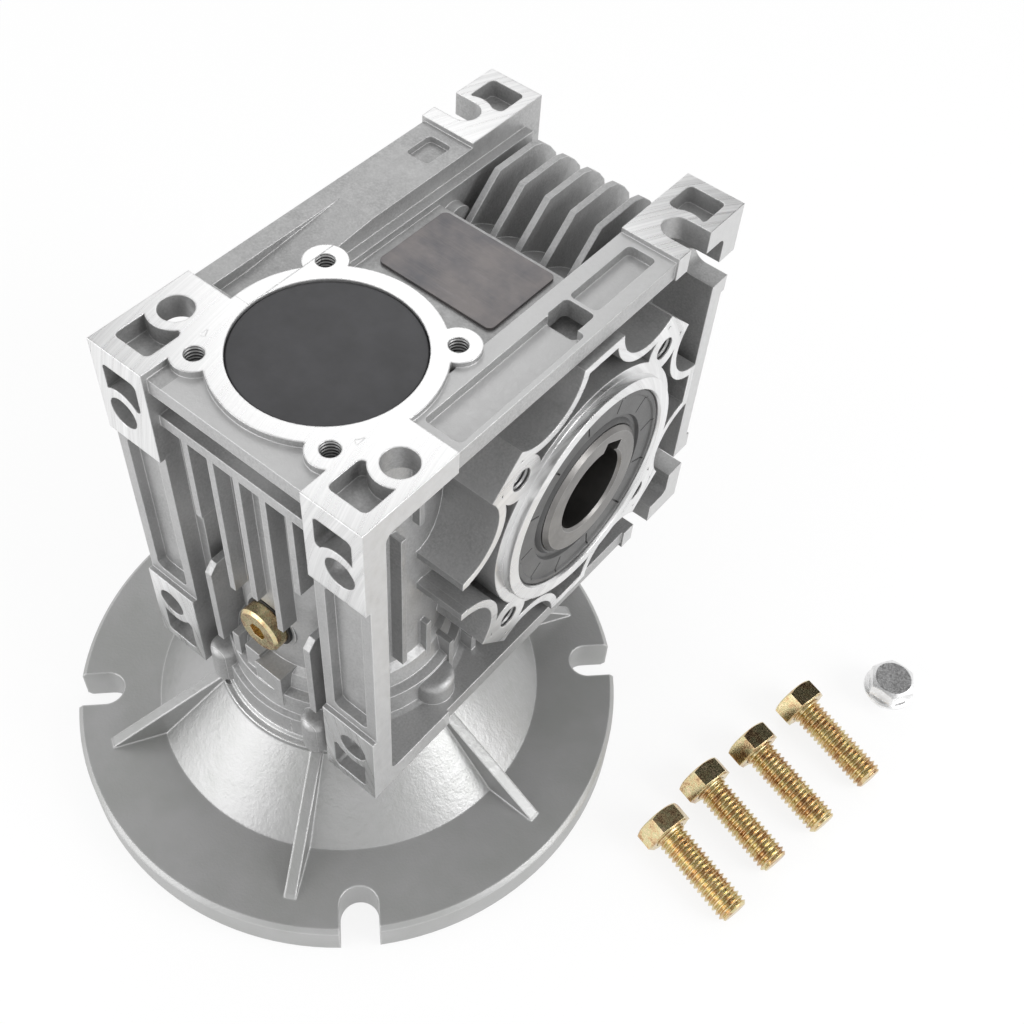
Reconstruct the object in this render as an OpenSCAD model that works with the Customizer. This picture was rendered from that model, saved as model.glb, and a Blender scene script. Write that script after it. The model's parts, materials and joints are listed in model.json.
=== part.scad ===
// Worm gear reducer, 50 mm centre distance, with a motor face flange.
// Origin on the worm axis, in the resting face of the motor flange. Z runs up the worm axis,
// X along the output axis, Y from the worm towards the wheel. Sizes in millimetres.

/* [Gearing] */
// Axial module of the worm
axial_module = 2.5; // [2.4:0.02:2.56]
// Teeth on the worm wheel
wheel_teeth = 30; // [28:1:30]
// Starts on the worm
worm_starts = 2; // [1:1:3]
// Pitch diameter of the worm
worm_pitch_d = 25; // [24:0.25:26]
// Pressure angle of the thread flanks
pressure_angle = 20; // [18:0.5:22]
// Backlash along the worm axis
backlash = 0.5; // [0.3:0.05:0.7]
// Gap between a tooth tip and the opposite root
root_gap = 0.5; // [0.4:0.05:0.8]
// Length of the worm thread
thread_l = 48; // [40:1:50]
// Face width of the bronze rim
rim_w = 22; // [18:0.5:24]
// Relief of the wheel tooth tips at the sides of the rim
crowning = 0.7; // [0.6:0.05:0.9]
// Radius of the joint between the bronze rim and the hub
hub_r = 30.5; // [28:0.25:31]

/* [Housing] */
// Height of the cast housing
housing_h = 120; // [118:0.5:124]
// Width over the cast side frames
housing_w = 85; // [84:0.5:86.5]
// Distance of the front face from the worm axis
front_reach = 34; // [34:0.25:37]
// Distance of the back face from the worm axis
back_reach = 110; // [110:0.5:114]
// Width of one side frame, across X
frame_w = 17.9; // [17:0.1:18.5]
// Thickness of the side frame rails
rail_t = 7; // [6.5:0.1:7.2]
// Height of the machined pads over the cast faces
pad_h = 1.5; // [0.8:0.1:1.8]
// Depth of the channels in the rails
channel_d = 3; // [1.5:0.25:3.5]
// Width of the lips on both sides of a channel
lip_w = 3.2; // [2:0.1:4]
// Wall of the wheel chamber
chamber_wall = 4; // [3.5:0.25:4.5]
// Clearance between the wheel and its chamber
chamber_gap = 2.4; // [2:0.1:2.6]
// Radius of the worm barrel
barrel_r = 28; // [27.5:0.25:29]
// Thickness of the cast webs and walls
web_t = 3; // [2.5:0.1:3.5]

/* [Feet] */
// Diameter of the foot holes and width of the foot slots
foot_hole_d = 9; // [8:0.1:9.5]
// Distance between the foot holes across X
foot_pitch_x = 70; // [69:0.25:71]
// Distance between the front face holes along Z
foot_pitch_z = 80; // [78:0.5:82]
// Distance of the front feet holes from the worm axis
foot_front = 14; // [13:0.25:15]
// Distance of the back feet slots from the worm axis
foot_back = 90; // [89:0.25:91]
// Length of the front feet pads along Y
front_pad_l = 30.7; // [30:0.1:32]
// Length of the back feet pads along Y
back_pad_l = 29.5; // [29:0.1:30.5]
// Height of the corner blocks along Z
corner_h = 30; // [29:0.25:31]

/* [Cooling fins] */
// Fins between the side frames
fin_count = 5; // [3:1:5]
// Distance between fins
fin_pitch = 8.5; // [7.5:0.1:9]
// Thickness of a fin
fin_t = 1.9; // [1.5:0.1:2.4]

/* [Output] */
// Width over the machined output faces
output_face_w = 87; // [86.8:0.1:89]
// Length of the hollow output shaft
shaft_l = 92; // [91:0.5:94]
// Outer diameter of the hollow output shaft
shaft_d = 40; // [39:0.25:40]
// Bore of the hollow output shaft
output_bore_d = 25; // [20:0.5:26]
// Width of the output keyway
output_key_w = 8; // [6:0.5:9]
// Height from the far side of the bore to the floor of the output keyway
output_key_t = 28.3; // [27.5:0.1:28.8]
// Turn of the output keyway at rest, from the back of the housing
output_key_turn = 60; // [0:5:355]
// Diameter of the raised output pilot
pilot_d = 70; // [69.5:0.25:72]
// Pitch circle of the output face threads
output_pcd = 85; // [84:0.25:86]
// Tapping diameter of the output face threads
output_tap_d = 6.8; // [6:0.1:7.5]
// Outer diameter of the output tube behind the pilot
tube_d = 76; // [75:0.25:77]
// Outer diameter of an output bearing
output_bearing_od = 68; // [67:0.25:68]
// Width of an output bearing
output_bearing_w = 15; // [13:0.5:15.5]
// Outer diameter of an output seal
output_seal_od = 62; // [60:0.5:62]
// Width of an output seal
output_seal_w = 8; // [6:0.5:8.5]

/* [Input] */
// Bore of the hollow worm for the motor shaft
motor_bore_d = 15.875; // [14:0.125:16]
// Width of the motor key
motor_key_w = 4.76; // [4:0.02:5]
// Height of the motor keyway over the bore
motor_key_h = 2.2; // [1.5:0.1:2.6]
// Journal of the worm in the input bearing
input_journal_d = 30; // [29:0.25:30]
// Outer diameter of the input bearing
input_bearing_od = 55; // [54:0.25:55]
// Width of the input bearing
input_bearing_w = 13; // [12:0.25:13]
// Outer diameter of the input seal
input_seal_od = 47; // [45:0.5:48]
// Width of the input seal
input_seal_w = 7; // [6:0.25:7.5]
// Journal of the worm in the rear bearing
rear_journal_d = 20; // [19:0.25:20]
// Outer diameter of the rear bearing and its cap
rear_bearing_od = 47; // [46:0.25:47.5]
// Width of the rear bearing
rear_bearing_w = 14; // [13:0.25:14]
// Thickness of the rear cap
rear_cap_t = 7; // [6:0.25:7]
// Pitch circle of the threads round the rear cap
rear_pcd = 60; // [59:0.25:61]
// Tapping diameter of the threads round the rear cap
rear_tap_d = 5; // [4:0.1:5.5]

/* [Motor flange] */
// Diameter of the motor flange
flange_d = 165.1; // [164:0.5:172]
// Thickness of the flange disc
flange_t = 12; // [10:0.5:13]
// Height of the motor flange up to the housing
flange_h = 35.5; // [35:0.25:38]
// Diameter of the motor pilot recess
motor_pilot_d = 114.3; // [113:0.1:116]
// Depth of the motor pilot recess
motor_pilot_h = 5; // [4:0.25:6]
// Bolt circle of the motor bolts
motor_pcd = 149.2; // [148:0.2:151]
// Width of the slots for the motor bolts
motor_slot_w = 11; // [10.4:0.1:12.5]
// Diameter of the foot of the cone
cone_d = 116; // [112:0.5:120]
// Diameter of the neck under the housing
neck_d = 77; // [76:0.5:79]
// Ribs on the cone
gusset_count = 6; // [3:1:8]
// Thickness of a rib on the cone
gusset_t = 3.4; // [2.5:0.1:4]
// Pitch circle of the flange screws
flange_screw_pcd = 67; // [66.75:0.25:67.5]
// Flange screws
flange_screw_count = 6; // [4:1:6]

/* [Fasteners and small parts] */
// Thread diameter of the flange and cover screws
screw_d = 6; // [5:0.1:6]
// Length of the flange screws under the head
flange_screw_l = 20; // [18:0.5:22]
// Pitch circle of the side cover screws
cover_screw_pcd = 96; // [95.6:0.1:96.4]
// Screws in the side cover
cover_screw_count = 8; // [8:1:8]
// Length of the side cover screws under the head
cover_screw_l = 12; // [12:0.5:16]
// Thickness of the side cover plate
cover_t = 6; // [5:0.25:6.5]
// Thickness of the side cover O-ring
oring_d = 2; // [1.6:0.1:2.2]
// Diameter of the oil plug head
plug_head_d = 14; // [12:0.5:15]
// Thread diameter of the oil plug and of the vent plug
plug_thread_d = 10; // [8:0.5:10.5]
// Height of the oil plug over the housing bottom
plug_z = 39; // [38:0.5:40]
// Length of the nameplate
plate_l = 37; // [34:0.5:40]
// Width of the nameplate
plate_w = 26; // [24:0.5:27]
// Thickness of the nameplate
plate_t = 0.8; // [0.5:0.1:1.2]
// Thread diameter of the loose motor bolts
bolt_d = 9.525; // [8:0.025:10]
// Length of the loose motor bolts under the head
bolt_l = 28.6; // [22:0.2:32]
// Width over the flats of the loose motor bolts
bolt_af = 14.3; // [13:0.1:16]
// Height of the head of the loose motor bolts
bolt_head_h = 6.2; // [5:0.1:7]

/* [Fits] */
// Radial clearance of a seated piece in its own body
seat_fit = 0.02; // [0.01:0.01:0.05]
// Radial clearance between a turning piece and a fixed one
running_fit = 0.08; // [0.04:0.01:0.1]
// Clearance between a ball and its race
ball_fit = 0.06; // [0.04:0.01:0.1]

/* [Hidden] */

join = 0.3;       // how far united solids reach into each other
past = 1;         // how far a cut runs past a face
round_fn = 48;    // facets of the previews of round faces

// Gearing
axial_pitch = PI * axial_module;
lead = axial_pitch * worm_starts;
wheel_pitch_r = axial_module * wheel_teeth / 2;
centre_distance = wheel_pitch_r + worm_pitch_d / 2;
worm_tip_r = worm_pitch_d / 2 + axial_module;
worm_root_r = worm_pitch_d / 2 - axial_module - root_gap;
wheel_throat_r = wheel_pitch_r + axial_module;
wheel_outer_r = wheel_throat_r + 0.7 * axial_module;
wheel_base_r = wheel_pitch_r * cos(pressure_angle);

// Levels along Z
housing_top = flange_h + housing_h;
axis_z = flange_h + housing_h / 2;
top_z = housing_top;

// Housing
half_w = housing_w / 2;
frame_in = half_w - frame_w;
front_y = -front_reach;
back_y = back_reach;
channel_in = frame_in + lip_w;
channel_out = half_w - lip_w;
chamber_r = wheel_outer_r + chamber_gap;
chamber_half = rim_w / 2 + 4.5;
foot_x = foot_pitch_x / 2;
front_pad_end = front_y + front_pad_l;
back_pad_start = back_y - back_pad_l;
low_block = corner_h;
high_block = housing_h - corner_h;
pocket_wall = 2.8;
deck_z = top_z - 9;
deck_end = 64;
deck_t = 4;
apron_z = top_z - 2;
apron_t = 4.5;
apron_front = front_y + 1.4;
rib_front = front_y + 2.6;
rib_top = top_z - 15;
rib_t = 3.5;
wall_front = front_y + 12;
plug_seat = -barrel_r + 0.8;
front_fin_ends = [73, 49.5, 53, 47, 72];
ring_r = rear_bearing_od / 2 + 4.8;
lobe_r = 5.8;

// Output faces
half_face = output_face_w / 2;
half_shaft = shaft_l / 2;
tap_offset = output_pcd / 2 / sqrt(2);
tip_reach = 51;
scallop_r = 14;
scallop_in = 22;
scallop_out = 52;
boss_wall = 2.6;
boss_r = output_tap_d / 2 + 3.8;
seal_out = half_shaft - 1;
seal_in = seal_out - output_seal_w;
bearing_out = seal_in - 1;
bearing_in = bearing_out - output_bearing_w;
bearing_seat_r = output_bearing_od / 2 + seat_fit;
hook_gap = 11;

// Side cover
cover_face = frame_in + 2.4;
cover_out = cover_face + cover_t;
cover_r = tip_reach + 1.3;
spigot_l = 8;
spigot_r = chamber_r - 0.1;
oring_groove_r = spigot_r - oring_d * 0.8;

// Worm and its bearings
cap_top = top_z - 0.6;
cap_base = cap_top - rear_cap_t;
rear_bearing_top = cap_base - 0.3;
rear_bearing_base = rear_bearing_top - rear_bearing_w;
rear_seat_r = rear_bearing_od / 2 + seat_fit;
input_bearing_base = flange_h + 8;
input_bearing_top = input_bearing_base + input_bearing_w;
input_seat_r = input_bearing_od / 2 + seat_fit;
circlip_t = 1.8;
circlip_depth = 1.5;
worm_end = 14;
motor_bore_top = 60;
tunnel_r = worm_tip_r + 4;
thread_base = axis_z - thread_l / 2;
thread_top = axis_z + thread_l / 2;
collar_r = input_journal_d / 2 + 2.5;
rear_collar_r = rear_journal_d / 2 + 2.5;

// Motor flange
flange_r = flange_d / 2;
neck_z = flange_h - 1.5;
cone_top = flange_h - 3.5;
hub_floor = flange_h - 11.5;
flange_spigot_h = 4;
seal_seat_r = input_seal_od / 2 + seat_fit;
seal_base = flange_h - 3.6;
screw_head_r = screw_d * 0.83;
screw_head_h = screw_d;
lug_r = 6.1;

// Loose parts on the resting surface
bolt_turn = -12.5;
bolt_places = [[106.4, 23.8], [107.2, 44.4], [111.8, 64.5], [114.9, 87]];
vent_place = [131, 113];
vent_af = 13;
vent_flange_r = 8;
vent_stub_l = 5;

// Bearing proportions
ball_share = 0.3;
land_share = 0.52;

function unit(a) = [cos(a), sin(a)];
function involute(a) = tan(a) - a * PI / 180;
function flank_angle(r) = acos(min(1, wheel_base_r / max(r, wheel_base_r)));

module along_x(x0, x1) {
    translate([x0, 0, 0]) rotate([90, 0, 90]) linear_extrude(x1 - x0) children();
}

module along_y(y0, y1) {
    translate([0, y1, 0]) rotate([90, 0, 0]) linear_extrude(y1 - y0) children();
}

module along_z(z0, z1) {
    translate([0, 0, z0]) linear_extrude(z1 - z0) children();
}

// Turned piece on the output axis: a profile of [radius, x] points
module turned_x(profile) {
    translate([0, centre_distance, axis_z]) rotate([0, 90, 0])
        rotate_extrude($fn = round_fn) polygon(profile);
}

module turned_z(profile) {
    rotate_extrude($fn = round_fn) polygon(profile);
}

module round_rect(x0, x1, y0, y1, r) {
    translate([x0 + r, y0]) square([x1 - x0 - 2 * r, y1 - y0]);
    translate([x0, y0 + r]) square([x1 - x0, y1 - y0 - 2 * r]);
    for (x = [x0 + r, x1 - r], y = [y0 + r, y1 - r])
        translate([x, y]) circle(r, $fn = 24);
}

module mirrored_x() {
    children();
    mirror([1, 0, 0]) children();
}

// Same feature at the top and at the bottom of the housing
module mirrored_z() {
    children();
    translate([0, 0, 2 * axis_z]) mirror([0, 0, 1]) children();
}

// Feet and side frames

// Weight-saving pocket beside a hole, its side bent round the hole
module foot_pocket(x0, x1, y0, y1, hole) {
    difference() {
        round_rect(x0, x1, y0, y1, 1.6);
        translate(hole) circle(foot_hole_d / 2 + pocket_wall, $fn = round_fn);
    }
}

module foot_slot(centre) {
    translate(centre) {
        translate([0.5, 0]) circle(d = foot_hole_d, $fn = round_fn);
        translate([0.5, -foot_hole_d / 2]) square([frame_w, foot_hole_d]);
    }
}

// Channel between two lips, sunk in a rail
module channel(y0, y1) {
    round_rect(channel_in, channel_out, y0, y1, 2);
}

module side_frame() {
    pocket_x0 = channel_in;
    pocket_x1 = half_w - 3.4;
    difference() {
        along_x(frame_in, half_w) difference() {
            translate([front_y, flange_h]) square([back_y - front_y, housing_h]);
            round_rect(front_y + rail_t, back_y - rail_t, flange_h + rail_t, top_z - rail_t, 2.5);
        }
        // Cast faces between the pads
        mirrored_z() translate([frame_in - past, front_pad_end, top_z - pad_h])
            cube([frame_w + 2 * past, back_pad_start - front_pad_end, pad_h + past]);
        for (y = [front_y - past, back_y - pad_h])
            translate([frame_in - past, y, flange_h + low_block])
                cube([frame_w + 2 * past, pad_h + past, high_block - low_block]);
        translate([half_w - pad_h / 2, front_pad_end, flange_h - past])
            cube([frame_w, back_pad_start - front_pad_end, housing_h + 2 * past]);
        // Channels in the front and back rails
        along_y(front_y - past, front_y + pad_h + channel_d)
            channel(flange_h + low_block + 3, flange_h + high_block - 3);
        along_y(back_y - pad_h - channel_d, back_y + past)
            channel(flange_h + low_block + 3, flange_h + high_block - 3);
        // Holes of the top feet, slots of the top and bottom feet
        along_z(top_z - rail_t - past, top_z + past)
            translate([foot_x, -foot_front]) circle(d = foot_hole_d, $fn = round_fn);
        mirrored_z() along_z(top_z - rail_t - past, top_z + past)
            foot_slot([foot_x, foot_back]);
        // Holes of the front face and slots of the back face
        for (z = [axis_z - foot_pitch_z / 2, axis_z + foot_pitch_z / 2]) {
            along_y(front_y - past, front_y + rail_t + past)
                translate([foot_x, z]) circle(d = foot_hole_d, $fn = round_fn);
            along_y(back_y - rail_t - past, back_y + past) foot_slot([foot_x, z]);
        }
        // Blind pockets beside the holes
        mirrored_z() along_z(top_z - 5.2, top_z + past) {
            foot_pocket(pocket_x0, pocket_x1, front_y + 4.7, front_y + 15.5,
                [foot_x, -foot_front]);
            foot_pocket(pocket_x0, pocket_x1, foot_back + 6, back_y - 3.6,
                [foot_x, foot_back]);
        }
        top_hole = axis_z + foot_pitch_z / 2;
        low_hole = axis_z - foot_pitch_z / 2;
        along_y(front_y - past, front_y + 5.2)
            foot_pocket(pocket_x0, pocket_x1, top_hole + 4.5, top_z - 5.6, [foot_x, top_hole]);
        along_y(front_y - past, front_y + rail_t + past)
            foot_pocket(pocket_x0, pocket_x1, flange_h + 3, low_hole - 4.5, [foot_x, low_hole]);
    }
}

// Two channels in the right top and bottom rails, with a deep well between them
module right_channels() {
    inner = frame_in + lip_w + 1.7;
    mirrored_z() {
        along_z(top_z - pad_h - channel_d, top_z + past) {
            round_rect(inner, half_w - 2.2, front_pad_end + 2.8, centre_distance - 5, 1.5);
            round_rect(inner - 0.5, half_w - 5, centre_distance + 3, back_pad_start - 2.5, 1.5);
        }
        along_z(top_z - rail_t - past, top_z + past)
            round_rect(inner - 0.5, half_w - 4.5, centre_distance - 6, centre_distance + 2, 1.5);
    }
}

// Ramp and small recess in the left top and bottom rails
module left_channels() {
    mirrored_z() {
        translate([-half_w + 6.5, 0, 0]) rotate([90, 0, 90])
            linear_extrude(half_w - 6.5 - frame_in + past)
                polygon([[front_pad_end + 1.5, top_z + past],
                    [front_pad_end + 1.5, top_z - pad_h - channel_d],
                    [front_pad_end + 12, top_z - pad_h - channel_d],
                    [centre_distance - 8, top_z - pad_h], [centre_distance - 8, top_z + past]]);
        along_z(top_z - pad_h - 2, top_z + past)
            round_rect(-half_w + 6, -frame_in - 4.2, back_pad_start - 13.5, back_pad_start - 3.5,
                1.5);
    }
}

// Cast body

module barrel() {
    turned_z([[0, flange_h], [35.6, flange_h], [35.6, flange_h + 7], [33.8, flange_h + 7.6],
        [33.8, flange_h + 15.6], [31, flange_h + 16.4], [30, flange_h + 22],
        [barrel_r, flange_h + 23.5], [barrel_r, top_z - 12], [ring_r, top_z - 9],
        [ring_r, top_z], [0, top_z]]);
    for (x = [-1, 1], y = [-1, 1])
        translate(rear_pcd / 2 / sqrt(2) * [x, y, 0])
            translate([0, 0, top_z - 14.5]) cylinder(h = 14.5, r = lobe_r, $fn = round_fn);
}

// Screw lugs for the motor flange, rounded on top
module flange_lugs() {
    edge = 2.4;
    for (i = [0 : flange_screw_count - 1]) {
        side = abs(cos(i * 360 / flange_screw_count)) > 0.9;
        r = side ? lug_r : lug_r - 1.8;
        lug_h = side ? 15 : 13.5;
        translate([0, 0, flange_h]) rotate(i * 360 / flange_screw_count)
            translate([flange_screw_pcd / 2 + (side ? 0 : 2.2), 0, 0])
                rotate_extrude($fn = round_fn) {
                    square([r, lug_h - edge]);
                    square([r - edge, lug_h]);
                    intersection() {
                        translate([r - edge, lug_h - edge]) circle(edge, $fn = 32);
                        square([r, lug_h]);
                    }
                }
    }
}

// Front wall with its apron, rib and fins
module front_panel() {
    inside = frame_in + join;
    translate([-inside, wall_front, flange_h])
        cube([2 * inside, 10, apron_z - flange_h - apron_t + join]);
    translate([-inside, apron_front, apron_z - apron_t])
        cube([2 * inside, 14, apron_t]);
    translate([-inside, rib_front, rib_top - rib_t])
        cube([2 * inside, wall_front - rib_front + join, rib_t]);
    for (i = [0 : fin_count - 1]) {
        fin_end = flange_h + front_fin_ends[i];
        translate([(i - (fin_count - 1) / 2) * fin_pitch - fin_t / 2, rib_front, fin_end])
            cube([fin_t, wall_front - rib_front + join, rib_top - rib_t - fin_end + join]);
    }
    // Short ribs that run up from the front lugs
    for (x = [-19.5, 16.5])
        translate([x, rib_front, flange_h + 16]) rotate([90, 0, 90])
            linear_extrude(2.2) polygon([[0, 0], [wall_front - rib_front + 1, 0],
                [wall_front - rib_front + 1, 34], [2.5, 34], [0, 31]]);
    // Boss of the oil plug and the stepped blocks under it
    along_y(plug_seat, 0) translate([0, flange_h + plug_z])
        circle(plug_head_d / 2 + 2, $fn = round_fn);
    translate([-12.6, rib_front, flange_h + 12]) cube([2.4, 12, 13]);
    translate([-7, rib_front - 0.6, flange_h + 10]) cube([5.4, 12, 15]);
    translate([-1.6 - join, rib_front - 2, flange_h + 10]) cube([9.6, 14, 13.5]);
}

// Recessed floor behind the cap for the nameplate
module deck() {
    inside = frame_in + join;
    translate([-inside, 12, deck_z - deck_t]) cube([2 * inside, deck_end - 12, deck_t]);
}

module back_fins() {
    y0 = centre_distance + 8;
    y1 = back_y - 1.8;
    top = top_z - 4.8;
    for (i = [0 : fin_count - 1])
        translate([(i - (fin_count - 1) / 2) * fin_pitch - fin_t / 2, 0, 0])
            rotate([90, 0, 90]) linear_extrude(fin_t)
                for (side = [1, -1]) polygon([for (q = [[y0, 0], [y0, 30],
                    [y0 + 12, top - axis_z - 11], [y0 + 24, top - axis_z],
                    [y1 - 11.5, top - axis_z], [y1 - 7.5, top - axis_z - 1.2],
                    [y1 - 4, top - axis_z - 4.2], [y1 - 1, top - axis_z - 8],
                    [y1, top - axis_z - 12], [y1, 0]])
                    [q[0], axis_z + side * (q[1] - join)]]);
}

// Wall round the wheel, a little thicker between the inner fins
module chamber_shell() {
    r = chamber_r + chamber_wall;
    thick = 0.3;
    turned_x([[0, -frame_in - join], [r, -frame_in - join], [r, -fin_pitch],
        [r + thick, -fin_pitch], [r + thick, fin_pitch], [r, fin_pitch],
        [r, frame_in + join], [0, frame_in + join]]);
}

// Webs that close the side frames
module side_webs() {
    for (x = [-frame_in - join, frame_in - web_t])
        translate([x, front_y + rail_t - join, flange_h + rail_t - join])
            cube([web_t + join, back_y - front_y - 2 * rail_t + 2 * join,
                housing_h - 2 * rail_t + 2 * join]);
}

// Short vertical ribs on the barrel, inside the side frames
module side_ribs() {
    mirrored_x() {
        for (rib = [[-8.2, 26.5, 55.5, 30.4], [-1.5, 82, 31, 30.4], [1.5, 12, 23, 30.4],
            [7.2, rail_t - join, 15.8, 34], [17.3, rail_t - join, 6.5, 34]])
            translate([frame_in - join, rib[0] - 0.9, flange_h + rib[1]])
                cube([rib[3] - frame_in + join, 1.8, rib[2]]);
    }
}

// Outline of the output face: a square and its lobes between eight scallops
module face_outline(inset) {
    reach = tip_reach - inset;
    difference() {
        intersection() {
            square(2 * reach, center = true);
            rotate(45) square(2 * (tip_reach - inset), center = true);
        }
        for (x = [-1, 1], y = [-1, 1]) {
            translate([x * scallop_in, y * scallop_out])
                circle(scallop_r + inset, $fn = round_fn);
            translate([x * scallop_out, y * scallop_in])
                circle(scallop_r + inset, $fn = round_fn);
        }
    }
}

// Thin scalloped wall with the four threaded bosses, as drawn in the face
module face_walls() {
    difference() {
        face_outline(0);
        face_outline(boss_wall);
    }
    for (a = [45 : 90 : 315]) rotate(a) {
        translate([output_pcd / 2, 0]) circle(boss_r, $fn = round_fn);
        translate([tube_d / 2 - 2, -4.2]) square([output_pcd / 2 - tube_d / 2 + 2, 8.4]);
    }
}

module at_output() {
    translate([0, centre_distance, axis_z]) children();
}

// Output boss from the web out to the machined face, with the pilot ring
module output_boss(x0) {
    at_output() {
        along_x(x0, half_face) difference() {
            face_walls();
            translate([-tip_reach - past, -hook_gap / 2]) square([5 + past, hook_gap]);
        }
        rotate([0, 90, 0]) {
            translate([0, 0, x0]) cylinder(h = half_face - x0, d = tube_d, $fn = round_fn);
            translate([0, 0, half_face - join])
                cylinder(h = half_shaft - half_face + join, d = pilot_d, $fn = round_fn);
        }
    }
}

// Space for the output bearing and seal, bored from the chamber outwards
module output_seats() {
    turned_x([[0, 0], [bearing_seat_r, 0], [bearing_seat_r, bearing_out],
        [output_seal_od / 2 - 1.5, bearing_out], [output_seal_od / 2 - 1.5, seal_in],
        [output_seal_od / 2 + seat_fit, seal_in], [output_seal_od / 2 + seat_fit, half_shaft - 0.8],
        [output_seal_od / 2 + 1, half_shaft + past], [0, half_shaft + past]]);
}

module output_taps() {
    at_output() for (y = [-1, 1], z = [-1, 1])
        translate([half_face - 16, y * tap_offset, z * tap_offset]) rotate([0, 90, 0])
            cylinder(h = 16 + past, d = output_tap_d, $fn = round_fn);
}

module cover_screw_places() {
    at_output() for (i = [0 : cover_screw_count - 1])
        rotate([(i + 0.5) * 360 / cover_screw_count, 0, 0])
            translate([0, cover_screw_pcd / 2, 0]) children();
}

// Everything that is bored out of the housing
module housing_bores() {
    // Wheel chamber, open to the left for the side cover
    turned_x([[0, -cover_face - past], [chamber_r, -cover_face - past],
        [chamber_r, chamber_half], [0, chamber_half]]);
    output_seats();
    output_taps();
    // Worm tunnel with the bearing seats at both ends
    turned_z([[0, flange_h - past], [input_seat_r, flange_h - past],
        [input_seat_r, input_bearing_top], [input_bearing_od / 2 - 4, input_bearing_top],
        [tunnel_r, input_bearing_top + 3], [tunnel_r, rear_bearing_base - 3],
        [rear_bearing_od / 2 - 4, rear_bearing_base], [rear_seat_r, rear_bearing_base],
        [rear_seat_r, top_z + past], [0, top_z + past]]);
    turned_z([[input_bearing_od / 2 - 2, input_bearing_base - circlip_t - 0.05],
        [input_bearing_od / 2 + circlip_depth, input_bearing_base - circlip_t - 0.05],
        [input_bearing_od / 2 + circlip_depth, input_bearing_base - 0.05],
        [input_bearing_od / 2 - 2, input_bearing_base - 0.05]]);
    for (x = [-1, 1], y = [-1, 1])
        translate([x, y, 0] * rear_pcd / 2 / sqrt(2)) translate([0, 0, top_z - 12])
            cylinder(h = 12 + past, d = rear_tap_d, $fn = 32);
    for (i = [0 : flange_screw_count - 1])
        rotate(i * 360 / flange_screw_count)
            translate([flange_screw_pcd / 2, 0, flange_h - past])
                cylinder(h = flange_screw_l - flange_h + hub_floor + 3 + past,
                    r = screw_d / 2 + seat_fit, $fn = 32);
    at_output() rotate([0, -90, 0]) translate([0, 0, cover_face])
        cylinder(h = half_w - cover_face + past,
            r = max(cover_r + 0.5, cover_screw_pcd / 2 + screw_head_r + 0.4), $fn = round_fn);
    cover_screw_places() translate([-cover_face - past, 0, 0]) rotate([0, 90, 0])
        cylinder(h = cover_screw_l - cover_t + 1 + past, r = screw_d / 2 + seat_fit, $fn = 32);
    // Oil plug hole and the spot face round it
    translate([0, plug_seat, flange_h + plug_z]) rotate([90, 0, 0])
        cylinder(h = 12, r = plug_head_d / 2 + 1.4, $fn = round_fn);
    translate([0, plug_seat - past, flange_h + plug_z]) rotate([-90, 0, 0])
        cylinder(h = 20, d = plug_thread_d + 2 * seat_fit, $fn = 32);
}

module housing() color([0.66, 0.67, 0.69]) {
    difference() {
        union() {
            mirrored_x() side_frame();
            side_webs();
            barrel();
            flange_lugs();
            front_panel();
            deck();
            back_fins();
            chamber_shell();
            side_ribs();
            output_boss(frame_in - join);
            at_output() rotate([0, 90, 0]) translate([0, 0, -cover_face])
                cylinder(h = cover_face - frame_in + join, r = tip_reach + 2.2, $fn = round_fn);
            cover_screw_places() translate([-cover_face + join, 0, 0]) rotate([0, 90, 0])
                cylinder(h = cover_screw_l - cover_t + 2, r = screw_d / 2 + 1.8, $fn = 32);
        }
        housing_bores();
        right_channels();
        left_channels();
    }
}

// Side cover with its ring and screws

module side_cover() color([0.66, 0.67, 0.69]) {
    difference() {
        union() {
            mirror([1, 0, 0]) output_boss(cover_out - join);
            at_output() rotate([0, -90, 0]) {
                translate([0, 0, cover_face])
                    cylinder(h = cover_t, r = cover_r, $fn = round_fn);
                translate([0, 0, cover_face - spigot_l])
                    cylinder(h = spigot_l + join, r = spigot_r, $fn = round_fn);
            }
        }
        mirror([1, 0, 0]) {
            output_seats();
            output_taps();
        }
        // Dish behind the bearing, and the groove of the O-ring
        turned_x([[0, -cover_face + spigot_l + past], [spigot_r - 4, -cover_face + spigot_l + past],
            [bearing_seat_r, -cover_face + 2], [0, -cover_face + 2]]);
        turned_x([[oring_groove_r, -cover_face + 2], [spigot_r + past, -cover_face + 2],
            [spigot_r + past, -cover_face + 2 + oring_d + 0.4],
            [oring_groove_r, -cover_face + 2 + oring_d + 0.4]]);
        cover_screw_places() translate([-cover_out - past, 0, 0]) rotate([0, 90, 0])
            cylinder(h = cover_t + 2 * past, r = screw_d / 2 + 0.3, $fn = 32);
    }
}

module side_cover_oring() color([0.09, 0.09, 0.1]) {
    translate([-cover_face + 2.2 + oring_d / 2, centre_distance, axis_z]) rotate([0, 90, 0])
        rotate_extrude($fn = round_fn)
            translate([oring_groove_r + 0.42 * oring_d, 0]) circle(d = oring_d * 0.8, $fn = 24);
}

// Socket head screw along +Z: the head below the origin, the shank above it
module socket_screw(length) {
    difference() {
        translate([0, 0, -screw_head_h]) cylinder(h = screw_head_h, r = screw_head_r, $fn = 32);
        translate([0, 0, -screw_head_h - past])
            cylinder(h = screw_head_h * 0.55 + past, r = screw_d * 0.48, $fn = 6);
    }
    translate([0, 0, -join]) cylinder(h = length + join, d = screw_d, $fn = 32);
}

module side_cover_screws() color([0.25, 0.25, 0.27]) {
    cover_screw_places() translate([-cover_out, 0, 0]) rotate([0, 90, 0])
        socket_screw(cover_screw_l);
}

// Motor flange

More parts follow.
